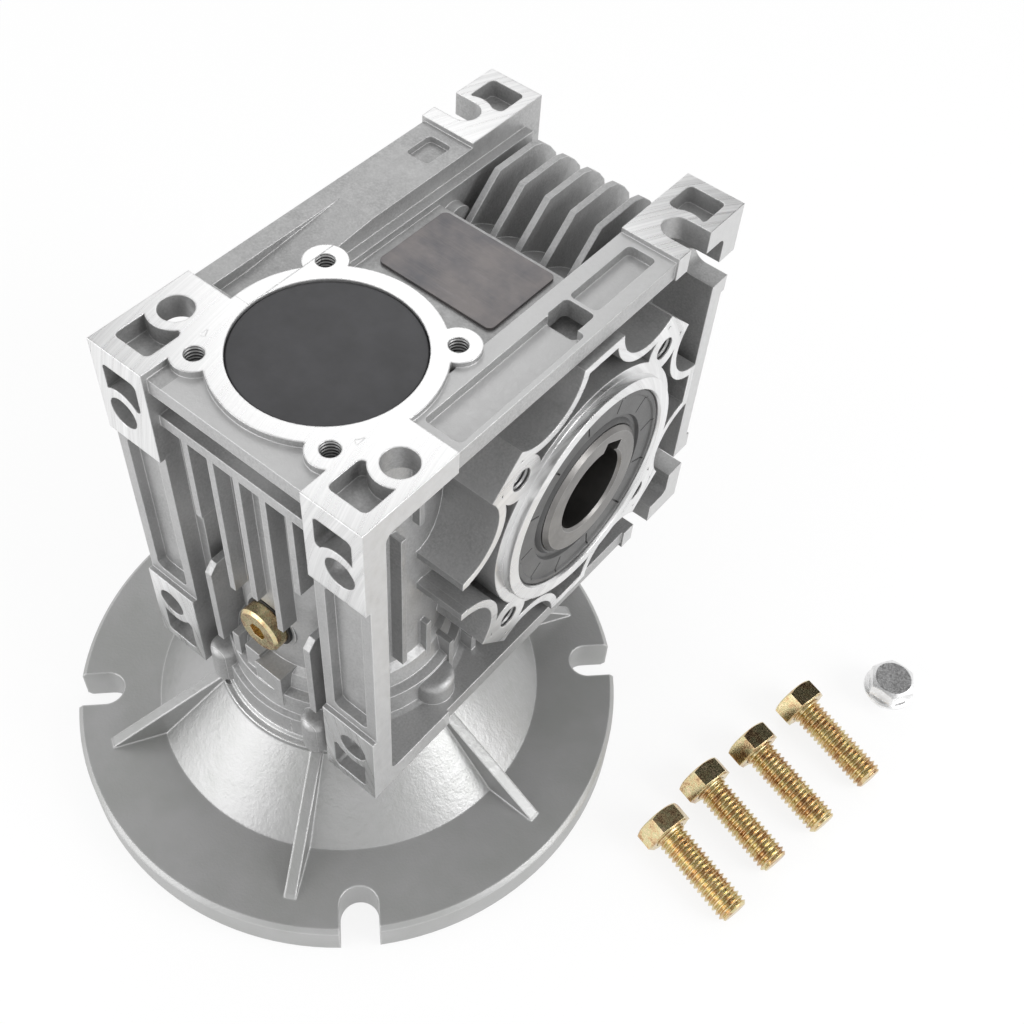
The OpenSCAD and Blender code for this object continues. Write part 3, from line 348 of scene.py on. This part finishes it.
def painted_light_faces(place, normal):
    """1 on the cast faces painted lighter as painted light: the frames' sides and the right rail.
    """
    x, _, z = place
    nx, _, nz = normal
    sides = (abs(x) > FRAME_X) * (abs(nx) > 0.5)
    rail = (z > TOP_Z - CHANNEL_DEPTH) * (nz > 0.5) * (x > LEFT_RAIL_X)
    return (sides + rail).held()


def cutter_arcs(finish, place):
    """Coordinates drawn out along arcs, for the marks of a milling cutter."""
    x, y, z = place
    away = [axis - centre for axis, centre in zip(place, CUTTER_CENTRE)]
    reach = (away[0] ** 2 + away[1] ** 2 + away[2] ** 2) ** 0.5
    return finish.joined(reach * CUTTER_MARKS, z * MARK_DRIFT, x * MARK_DRIFT)


def tapped_threads(finish, place):
    """Thread relief inside the tapped holes of the rear ring and the output face."""
    x, y, z = place
    rear = (abs(x) - REAR_TAP) ** 2 + (abs(y) - REAR_TAP) ** 2 < REAR_TAP_RADIUS ** 2
    rear = rear * (z < TOP_Z - TAP_COUNTERSINK) * (z > TOP_Z - REAR_TAP_DEPTH)
    across = abs(y - AXIS_Y) - OUTPUT_TAP
    up = abs(z - AXIS_Z) - OUTPUT_TAP
    output = across ** 2 + up ** 2 < OUTPUT_TAP_RADIUS ** 2
    output = output * (abs(x) > FACE_X - OUTPUT_TAP_DEPTH) * (abs(x) < FACE_X - TAP_COUNTERSINK)
    return finish.wave(z, REAR_TAP_PITCH) * rear + finish.wave(x, OUTPUT_TAP_PITCH) * output


def flange_casting(shade):
    """The flange: a smooth disc and a pebbled cone, the cone painted lighter as a painted
    highlight.
    """
    finish = Finish("flange_aluminium", IOR=SKIN_IOR)
    where = finish.place()
    x, y, z = finish.parts(where)
    milled = flange_pads(z, finish.normal()[2])
    reach = (x ** 2 + y ** 2) ** 0.5
    cone = finish.span(reach, CONE_REACH, CONE_REACH - 1.5) * (z > DISC_Z)
    rounded = finish.soft_edges(0.9)
    fine = finish.noise(where, scale=1.3, detail=2.0, rough=0.5)
    pebble = finish.noise(where, scale=0.42, rough=0.55)
    cloud = finish.noise(where, scale=0.05)

    plain = colour(shade, shade * 1.01, shade * 0.99)
    skin = finish.blend(finish.span(cloud, 0.35, 0.65), plain, grey(shade * 1.12))
    # Painted highlight: the pebbled mottling paints the cone lighter than the disc, standing in for
    # the light the cone catches.
    skin = finish.blend(finish.span(pebble, 0.4, 0.65) * cone * 0.6, skin, grey(shade * 1.12))
    skin = finish.blend(finish.edge_mask(rounded) * 0.5, skin, grey(0.9))
    finish.set("Base Color", finish.blend(milled, skin, grey(0.78)))
    finish.set("Metallic", finish.span(milled, 0.0, 1.0, 0.7, 1.0))
    finish.set("Roughness", 0.44 - cone * 0.06 - milled * 0.12)
    finish.set("Normal", finish.bump(fine * 0.4 + pebble * cone * 0.7, 0.3, rounded))
    return finish.material


def flange_pads(z, nz):
    """1 on the turned faces of the motor flange."""
    underside = (z < NEAR) * (nz < -0.5)
    seat = (z > LOW_Z - PILOT_LIP) * (nz > 0.5)
    return (underside + seat).held()


def turned_steel(name, shade, rough, warmth=0.0, upright=False):
    """Turned metal with fine rings round its axis, the output axis or the upright one."""
    finish = Finish(name, Metallic=1.0)
    where = finish.place()
    x, y, z = finish.parts(where)
    if upright:
        step = (x ** 2 + y ** 2) ** 0.5 + z
    else:
        step = ((y - AXIS_Y) ** 2 + (z - AXIS_Z) ** 2) ** 0.5 + x
    rings = finish.noise(finish.joined(step * 2.5, 0.0, 0.0), scale=1.0, detail=4.0, rough=0.7)
    cloud = finish.noise(where, scale=0.12)
    rounded = finish.soft_edges(0.25)
    tone = finish.blend(finish.span(cloud, 0.35, 0.65), grey(shade * 0.86, warmth),
                        grey(shade * 1.1, warmth))
    tone = finish.blend(finish.edge_mask(rounded) * 0.5, tone, grey(0.85))
    finish.set("Base Color", tone)
    finish.set("Roughness", finish.span(rings, 0.3, 0.7, rough * 0.8, rough * 1.25))
    finish.set("Normal", finish.bump(rings, 0.03, rounded))
    return finish.material


def moulded(name, shade, rough, grain=0.6, tint=(1.0, 1.0, 1.0)):
    """Moulded rubber with a fine matt grain."""
    finish = Finish(name, Metallic=0.0, IOR=SKIN_IOR)
    where = finish.place()
    fine = finish.noise(where, scale=2.2)
    cloud = finish.noise(where, scale=0.1)
    rounded = finish.soft_edges(0.25)
    low = colour(*(shade * 0.8 * part for part in tint))
    high = colour(*(shade * 1.25 * part for part in tint))
    finish.set("Base Color", finish.blend(finish.span(cloud, 0.3, 0.7), low, high))
    finish.set("Roughness", finish.span(fine, 0.3, 0.7, rough * 0.9, rough * 1.15))
    finish.set("Normal", finish.bump(fine, 0.06 * grain, rounded))
    return finish.material


def mottled(name, rough, *stops):
    """Plated or bare metal: a mottled tint, brighter where it is rubbed."""
    finish = Finish(name, Metallic=1.0)
    where = finish.place()
    tint = finish.noise(where, scale=0.3)
    fine = finish.noise(where, scale=1.8)
    rounded = finish.soft_edges(0.2)
    tone = finish.ramp(tint + (fine - 0.5) * 0.4, stops)
    finish.set("Base Color", finish.blend(finish.edge_mask(rounded) * 0.4, tone, stops[-1][1]))
    finish.set("Roughness", finish.span(fine, 0.3, 0.7, rough * 0.75, rough * 1.3))
    finish.set("Normal", finish.bump(fine, 0.03, rounded))
    return finish.material


def etched_plate():
    """Dark anodised plate with lighter brushed streaks."""
    finish = Finish("dark_plate", Metallic=0.75)
    where = finish.place()
    x, y, z = finish.parts(where)
    brush = finish.noise(finish.joined(x * 0.08, y * 1.6, z), scale=1.0, detail=4.0, rough=0.7)
    cloud = finish.noise(where, scale=0.09, detail=4.0)
    tone = finish.blend(finish.span(cloud, 0.35, 0.65), colour(0.16, 0.158, 0.168),
                        colour(0.25, 0.232, 0.23))
    tone = finish.blend(finish.span(brush, 0.5, 0.75) * 0.5, tone, colour(0.33, 0.31, 0.30))
    finish.set("Base Color", tone)
    finish.set("Roughness", finish.span(brush, 0.3, 0.7, 0.38, 0.52))
    finish.set("Normal", finish.bump(brush, 0.02, finish.soft_edges(0.2)))
    return finish.material


def all_finishes(shades):
    """Every finish, by the slot that it fills."""
    return {
        "cast_aluminium": housing_casting(shades.casting_shade),
        "flange_aluminium": flange_casting(shades.flange_shade),
        "shaft_steel": turned_steel("shaft_steel", shade=0.23, rough=0.36, warmth=0.03),
        "worm_steel": turned_steel("worm_steel", shade=0.50, rough=0.25, upright=True),
        "bearing_steel": turned_steel("bearing_steel", shade=0.62, rough=0.2),
        "bronze": mottled(
            "bronze", 0.3, (0.3, colour(0.45, 0.27, 0.10)), (0.5, colour(0.62, 0.40, 0.17)),
            (0.7, colour(0.72, 0.50, 0.24))),
        "ball_steel": mottled("ball_steel", 0.1, (0.3, grey(0.72)), (0.7, grey(0.82))),
        "cage_steel": mottled("cage_steel", 0.35, (0.3, grey(0.45)), (0.7, grey(0.6))),
        "black_steel": mottled("black_steel", 0.4, (0.3, grey(0.03)), (0.7, grey(0.08))),
        "yellow_zinc": mottled(
            "yellow_zinc", 0.26, (0.36, colour(0.48, 0.31, 0.17)),
            (0.44, colour(0.68, 0.49, 0.28)), (0.50, colour(0.74, 0.58, 0.33)),
            (0.57, colour(0.62, 0.58, 0.33)), (0.66, colour(0.84, 0.66, 0.42))),
        "bright_zinc": mottled(
            "bright_zinc", 0.4, (0.3, grey(0.82)), (0.5, grey(0.88)), (0.7, grey(0.94))),
        "black_rubber": moulded("black_rubber", shade=0.02, rough=0.55),
        "grey_rubber": moulded("grey_rubber", shade=0.085, rough=0.5, grain=1.2),
        "cap_rubber": moulded("cap_rubber", shade=0.032, rough=0.36, grain=0.4,
                              tint=(1.0, 1.0, 1.1)),
        "dark_plate": etched_plate(),
    }


# Shapes


def piece(name, rings, slot, node=None, place=None):
    """Skin over a row of rings, with a face on each end, that rides on the housing."""
    count = len(rings[0])
    points = [tuple(point) for ring in rings for point in ring]
    faces = []
    for row in range(len(rings) - 1):
        low = row * count
        high = low + count
        for i in range(count):
            k = (i + 1) % count
            faces.append((low + i, low + k, high + k, high + i))
    faces.append(tuple(reversed(range(count))))
    faces.append(tuple(range(len(points) - count, len(points))))

    mesh = bpy.data.meshes.new(name)
    mesh.from_pydata(points, [], faces)
    mesh.validate()
    made = bpy.data.objects.new(name, mesh)
    bpy.context.scene.collection.objects.link(made)
    if place is not None:
        mesh.transform(place)
    mesh.materials.append(FINISHES[slot])
    mesh.set_sharp_from_angle(angle=SHARP_ANGLE)
    for face in mesh.polygons:
        face.use_smooth = True
    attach(made, BODY)
    if node:
        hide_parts(node)
    return made


def prism(name, outline, depth):
    """Cast slab under the housing's top face, from an outline in plan and a depth."""
    sunk = 0.01
    rings = [[Vector((x, y, z)) * MM for x, y in outline] for z in (TOP_Z - depth, TOP_Z - sunk)]
    piece(name, rings, "cast_aluminium")


def circle(radius, height, count=TURNED_POINTS):
    """Ring of points round Z. The radius and the height may each follow the angle."""
    ring = []
    for i in range(count):
        angle = 2 * math.pi * i / count
        reach = radius(angle) if callable(radius) else radius
        level = height(angle) if callable(height) else height
        ring.append(Vector((reach * math.cos(angle), reach * math.sin(angle), level)) * MM)
    return ring


def hexagon(flats):
    """Radius of a hexagon for an angle."""
    def reach(angle):
        turn = (angle % (math.pi / 3)) - math.pi / 6
        return flats / 2 / math.cos(turn)
    return reach


def cut_corners(flats, top):
    """Height of a hexagon's side for an angle, where a cone cuts its corners."""
    reach = hexagon(flats)

    def level(angle):
        return top - (reach(angle) - flats / 2 * HEAD_ROUND) * CORNER_SLOPE
    return level


def hex_head(flats, height):
    """Rings of a hexagon head from its underside up, its corners cut by a cone."""
    half = flats / 2
    hexed = hexagon(flats)
    seat = 0.25
    side_from = 0.3
    return [circle(half * 0.96, 0.0), circle(half * 0.97, seat), circle(hexed, side_from),
            circle(hexed, cut_corners(flats, height)), circle(half * HEAD_ROUND, height),
            circle(half * HEAD_ROUND * 0.5, height)]


def threaded_shank(radius, length, pitch):
    """Rings of a threaded shank that hangs down from Z = 0, from its chamfered tip up."""
    depth = 0.61 * pitch
    flat = 0.125
    tip = 1.1
    tip_slope = 0.95
    run_in = 0.8 * pitch
    rows = int(length / pitch * 10)
    rings = []
    for row in range(rows + 1):
        z = length * row / rows
        ring = []
        for i in range(THREAD_POINTS):
            angle = 2 * math.pi * i / THREAD_POINTS
            phase = (z / pitch + i / THREAD_POINTS) % 1.0
            crest = 1 - abs(phase - 0.5) * 2
            full = min(1.0, max(0.0, (crest - flat) / (1 - 2 * flat)))
            reach = radius - depth * (1 - full) * min(1.0, z / run_in)
            reach = min(reach, radius - max(0.0, z - (length - tip)) * tip_slope)
            ring.append(Vector((reach * math.cos(angle), reach * math.sin(angle), -z)) * MM)
        rings.append(ring)
    neck = circle(radius + 0.35, 0.0, THREAD_POINTS)
    return list(reversed(rings)) + [neck]


# Sizes and colours that a user may change


class ReducerSizes(bpy.types.PropertyGroup):
    casting_shade: bpy.props.FloatProperty(
        name="Casting shade", description="Base grey of the cast skin", default=0.43, min=0.1,
        max=0.9, subtype="FACTOR")
    flange_shade: bpy.props.FloatProperty(
        name="Flange shade", description="Base grey of the motor flange", default=0.40, min=0.1,
        max=0.9, subtype="FACTOR")
    bolt_flats: bpy.props.FloatProperty(
        name="Bolt flats", description="Width over the flats of the motor bolts, in millimetres",
        default=14.3, min=8.0, max=20.0)
    bolt_head: bpy.props.FloatProperty(
        name="Bolt head", description="Height of the head of the motor bolts, in millimetres",
        default=6.2, min=3.0, max=10.0)
    bolt_radius: bpy.props.FloatProperty(
        name="Bolt radius", description="Radius of the motor bolts, in millimetres",
        default=4.76, min=2.0, max=8.0)
    bolt_length: bpy.props.FloatProperty(
        name="Bolt length", description="Length of the motor bolts under the head, in millimetres",
        default=28.6, min=10.0, max=60.0)
    bolt_pitch: bpy.props.FloatProperty(
        name="Bolt pitch", description="Thread pitch of the motor bolts, in millimetres",
        default=1.5875, min=0.5, max=3.0)
    vent_flats: bpy.props.FloatProperty(
        name="Vent plug flats", description="Width over the flats of the vent plug, in millimetres",
        default=13.0, min=8.0, max=20.0)


class StudioSizes(bpy.types.PropertyGroup):
    camera_place: bpy.props.FloatVectorProperty(
        name="Camera place", description="Where the camera stands", size=3,
        default=(0.160554, -0.150110, 0.377438), subtype="TRANSLATION", unit="LENGTH")
    camera_turn: bpy.props.FloatVectorProperty(
        name="Camera turn", description="How the camera is turned", size=3,
        default=(math.radians(37.827), math.radians(-3.257), math.radians(39.197)),
        subtype="EULER", unit="ROTATION")
    lens: bpy.props.FloatProperty(
        name="Lens", description="Focal length, in millimetres", default=47.31, min=10.0,
        max=200.0)
    world_light: bpy.props.FloatProperty(
        name="World light", description="Strength of the white surroundings", default=0.75,
        min=0.0, max=3.0)
    ceiling: bpy.props.FloatProperty(
        name="Ceiling", description="Brightness of the ceiling card that metal reflects",
        default=0.42, min=0.0, max=2.0)
    floor_glow: bpy.props.FloatProperty(
        name="Floor glow", description="Share of plain white in the floor, as the camera sees it",
        default=0.85, min=0.0, max=1.0, subtype="FACTOR")


# Steps


class ReducerFinishes(bpy.types.Operator):
    """Gives every frame node its finish"""
    bl_idname = "reducer.finishes"
    bl_label = "Finishes"

    def execute(self, context):
        FINISHES.update(all_finishes(context.scene.reducer_sizes))
        slots = {row["node"]: row["material_slot"] for row in frame["record"]["subparts"]}
        for name, made in NODES.items():
            finish = FINISHES[slots[name]]
            for holder in made.material_slots:
                holder.material = finish
            if not made.material_slots:
                made.data.materials.append(finish)
        return {"FINISHED"}


class ReducerRingWebs(bpy.types.Operator):
    """Builds the cast webs beside the cap's ring, and its slices over the left channel"""
    bl_idname = "reducer.ring_webs"
    bl_label = "Ring webs"

    web_corners = ((25.2, -17.2), (25.2, -13.4), (24.0, -13.4), (22.4, -16.4))
    web_depth = 5.5
    ring_radius = 28.3
    ring_low_y = -12.4
    lobe_radius = 5.8
    channel_x = -23.6
    slice_depth = 4.6
    arc_steps = 24

    def execute(self, context):
        mirrored = [(-x, y) for x, y in reversed(self.web_corners)]
        prism("ring_web_right", self.web_corners, self.web_depth)
        prism("ring_web_left", mirrored, self.web_depth)
        ring = [(x, y) for x, y in self.arc((0.0, 0.0), self.ring_radius) if y > self.ring_low_y]
        ring.append((self.channel_x, self.ring_low_y))
        prism("ring_side_left", ring, self.slice_depth)
        lobe = self.arc((-REAR_TAP, REAR_TAP), self.lobe_radius)
        prism("ring_lobe_left", lobe, self.slice_depth)
        return {"FINISHED"}

    def arc(self, middle, radius):
        """Points of a circle's left side, as far as the edge of the channel."""
        half = math.acos((middle[0] - self.channel_x) / radius)
        points = []
        for step in range(self.arc_steps + 1):
            angle = math.pi - half + 2 * half * step / self.arc_steps
            points.append((middle[0] + radius * math.cos(angle),
                           middle[1] + radius * math.sin(angle)))
        return points


class ReducerMotorBolts(bpy.types.Operator):
    """Builds the loose motor bolts with their threads"""
    bl_idname = "reducer.motor_bolts"
    bl_label = "Motor bolts"

    places = ((106.4, 23.8), (107.2, 44.4), (111.8, 64.5), (114.9, 87.0))
    heading = math.radians(-12.5)
    side_turn = math.radians(60)
    flat_up = math.radians(30)

    def execute(self, context):
        sizes = context.scene.reducer_sizes
        head = hex_head(sizes.bolt_flats, sizes.bolt_head)
        shank = threaded_shank(sizes.bolt_radius, sizes.bolt_length, sizes.bolt_pitch)
        tilt = math.asin((sizes.bolt_flats / 2 - sizes.bolt_radius) / sizes.bolt_length)
        laid = (Matrix.Rotation(self.heading, 4, "Z") @ Matrix.Rotation(tilt, 4, "Y")
                @ Matrix.Rotation(-math.pi / 2, 4, "Y"))
        for index, (x, y) in enumerate(self.places, 1):
            rest = Vector((x, y, sizes.bolt_flats / 2 * math.cos(tilt))) * MM
            roll = Matrix.Rotation(self.flat_up + index * self.side_turn, 4, "Z")
            place = Matrix.Translation(rest) @ laid @ roll
            piece(f"motor_bolt_shank_{index}", shank, "yellow_zinc", place=place)
            piece(f"motor_bolt_head_{index}", head, "yellow_zinc", place=place,
                  node="motor_bolts" if index == 1 else None)
        return {"FINISHED"}


class ReducerVentPlug(bpy.types.Operator):
    """Builds the loose vent plug"""
    bl_idname = "reducer.vent_plug"
    bl_label = "Vent plug"

    mouth_radius = 3.0
    stem_radius = 4.9
    stem = 5.0
    washer_radius = 8.0
    washer_edge = 7.4
    dome = 0.2

    def execute(self, context):
        low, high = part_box("vent_plug")
        middle = (Vector(low) + Vector(high)) / 2
        flats = context.scene.reducer_sizes.vent_flats
        hexed = hexagon(flats)
        top = high[2] / MM
        shoulder = top - self.dome
        crown = flats / 2 * HEAD_ROUND
        stem = self.stem
        rings = [circle(self.mouth_radius, 0.0), circle(self.stem_radius - 0.5, 0.0),
                 circle(self.stem_radius, 0.6), circle(self.stem_radius, stem),
                 circle(self.washer_radius - 0.4, stem), circle(self.washer_radius, stem + 0.3),
                 circle(self.washer_radius, stem + 1.0), circle(self.washer_edge, stem + 1.5),
                 circle(hexed, stem + 1.7), circle(hexed, cut_corners(flats, shoulder)),
                 circle(crown, shoulder), circle(crown * 0.93, top), circle(crown * 0.6, top)]
        place = Matrix.Translation(Vector((middle.x, middle.y, 0)))
        piece("vent_plug_turned", rings, "bright_zinc", node="vent_plug", place=place)
        return {"FINISHED"}


class ReducerStudio(bpy.types.Operator):
    """Builds the floor, the lamps and the camera"""
    bl_idname = "reducer.studio"
    bl_label = "Studio"

    # Name, place, aim, size and power of each lamp
    lamps = (
        ("softbox_front", (-0.40, -0.80, 0.40), (0.0, 0.0, 0.05), 0.8, 3.4),
        ("softbox_right", (0.80, 0.25, 0.50), (0.0, 0.0, 0.05), 0.6, 4.2),
        ("softbox_back", (-0.47, 0.53, 0.87), (0.0, 0.03, 0.15), 0.5, 0.8),
    )
    # Near and far corner in plan, and height
    floor_span = ((-4.0, -4.0), (4.0, 4.0), 0.0)
    ceiling_span = ((-1.6, -1.6), (1.6, 1.6), 1.0)
    bolt_card_span = ((0.05, 0.088), (0.3, 0.42), 0.2)

    def execute(self, context):
        scene = context.scene
        studio = scene.reducer_studio
        self.floor(scene, studio)
        self.world(scene, studio)
        for lamp in self.lamps:
            self.lamp(scene, *lamp)
        self.card(scene, "ceiling_card", self.ceiling_span, studio.ceiling)
        self.card(scene, "bolt_card", self.bolt_card_span, 0.0)
        self.camera(scene, studio)
        scene.view_settings.view_transform = "Standard"
        return {"FINISHED"}

    def sheet(self, scene, name, span, finish):
        """Flat sheet between two corners, at one height."""
        (x0, y0), (x1, y1), z = span
        mesh = bpy.data.meshes.new(name)
        mesh.from_pydata([(x0, y0, z), (x1, y0, z), (x1, y1, z), (x0, y1, z)], [], [(0, 1, 2, 3)])
        mesh.materials.append(finish.material)
        sheet = bpy.data.objects.new(name, mesh)
        scene.collection.objects.link(sheet)
        return sheet

    def floor(self, scene, studio):
        """White paper that keeps the shadows and shows as plain white round them."""
        paper = Finish("floor_paper", Roughness=0.9, Metallic=0.0)
        paper.set("Base Color", grey(0.95))
        glow = paper.node("ShaderNodeEmission", {}, Color=grey(1.0), Strength=1.0)
        mix = paper.node("ShaderNodeMixShader", {}, paper.seen() * studio.floor_glow,
                         Flow(paper, paper.shader.outputs[0]), glow.out())
        paper.feed(paper.tree.nodes["Material Output"].inputs["Surface"], mix.out())
        self.sheet(scene, "floor", self.floor_span, paper)

    def card(self, scene, name, span, shade):
        """Card that only shows as a reflection in metal."""
        felt = Finish(name + "_felt", Roughness=1.0, Metallic=0.0)
        felt.set("Base Color", grey(0.02))
        felt.set("Emission Color", grey(1.0))
        felt.set("Emission Strength", shade)
        card = self.sheet(scene, name, span, felt)
        card.visible_camera = False
        card.visible_diffuse = False
        card.visible_shadow = False

    def world(self, scene, studio):
        """Surroundings that show as white and light the reducer less than that."""
        world = bpy.data.worlds.new("studio_white")
        scene.world = world
        world.use_nodes = True
        graph = Graph(world.node_tree)
        back = graph.tree.nodes["Background"]
        back.inputs["Color"].default_value = grey(1.0)
        graph.feed(back.inputs["Strength"], graph.seen().math("MAXIMUM", studio.world_light))

    def lamp(self, scene, name, place, aim, size, power):
        data = bpy.data.lights.new(name, "AREA")
        data.shape = "DISK"
        data.size = size
        data.energy = power
        made = bpy.data.objects.new(name, data)
        made.location = place
        made.rotation_euler = (Vector(aim) - Vector(place)).to_track_quat("-Z", "Y").to_euler()
        scene.collection.objects.link(made)

    def camera(self, scene, studio):
        data = bpy.data.cameras.new("camera")
        data.lens = studio.lens
        data.sensor_width = 36.0
        data.clip_start = 0.01
        made = bpy.data.objects.new("camera", data)
        made.location = studio.camera_place
        made.rotation_euler = Euler(studio.camera_turn, "XYZ")
        scene.collection.objects.link(made)
        scene.camera = made


class ReducerPanel(bpy.types.Panel):
    """Lists the steps that dress the reducer"""
    bl_idname = "VIEW3D_PT_reducer"
    bl_label = "Worm gear reducer"
    bl_space_type = "VIEW_3D"
    bl_region_type = "UI"
    bl_category = "Reducer"

    def draw(self, context):
        for step in STEPS:
            self.layout.operator(step.bl_idname)


STEPS = (ReducerFinishes, ReducerRingWebs, ReducerMotorBolts, ReducerVentPlug, ReducerStudio)
CLASSES = (ReducerSizes, StudioSizes) + STEPS + (ReducerPanel,)


def register():
    for made in CLASSES:
        bpy.utils.register_class(made)
    bpy.types.Scene.reducer_sizes = bpy.props.PointerProperty(type=ReducerSizes)
    bpy.types.Scene.reducer_studio = bpy.props.PointerProperty(type=StudioSizes)


def unregister():
    del bpy.types.Scene.reducer_studio
    del bpy.types.Scene.reducer_sizes
    for made in reversed(CLASSES):
        bpy.utils.unregister_class(made)


def main():
    register()
    for step in STEPS:
        family, verb = step.bl_idname.split(".")
        getattr(getattr(bpy.ops, family), verb)()


if __name__ == "__main__":
    main()
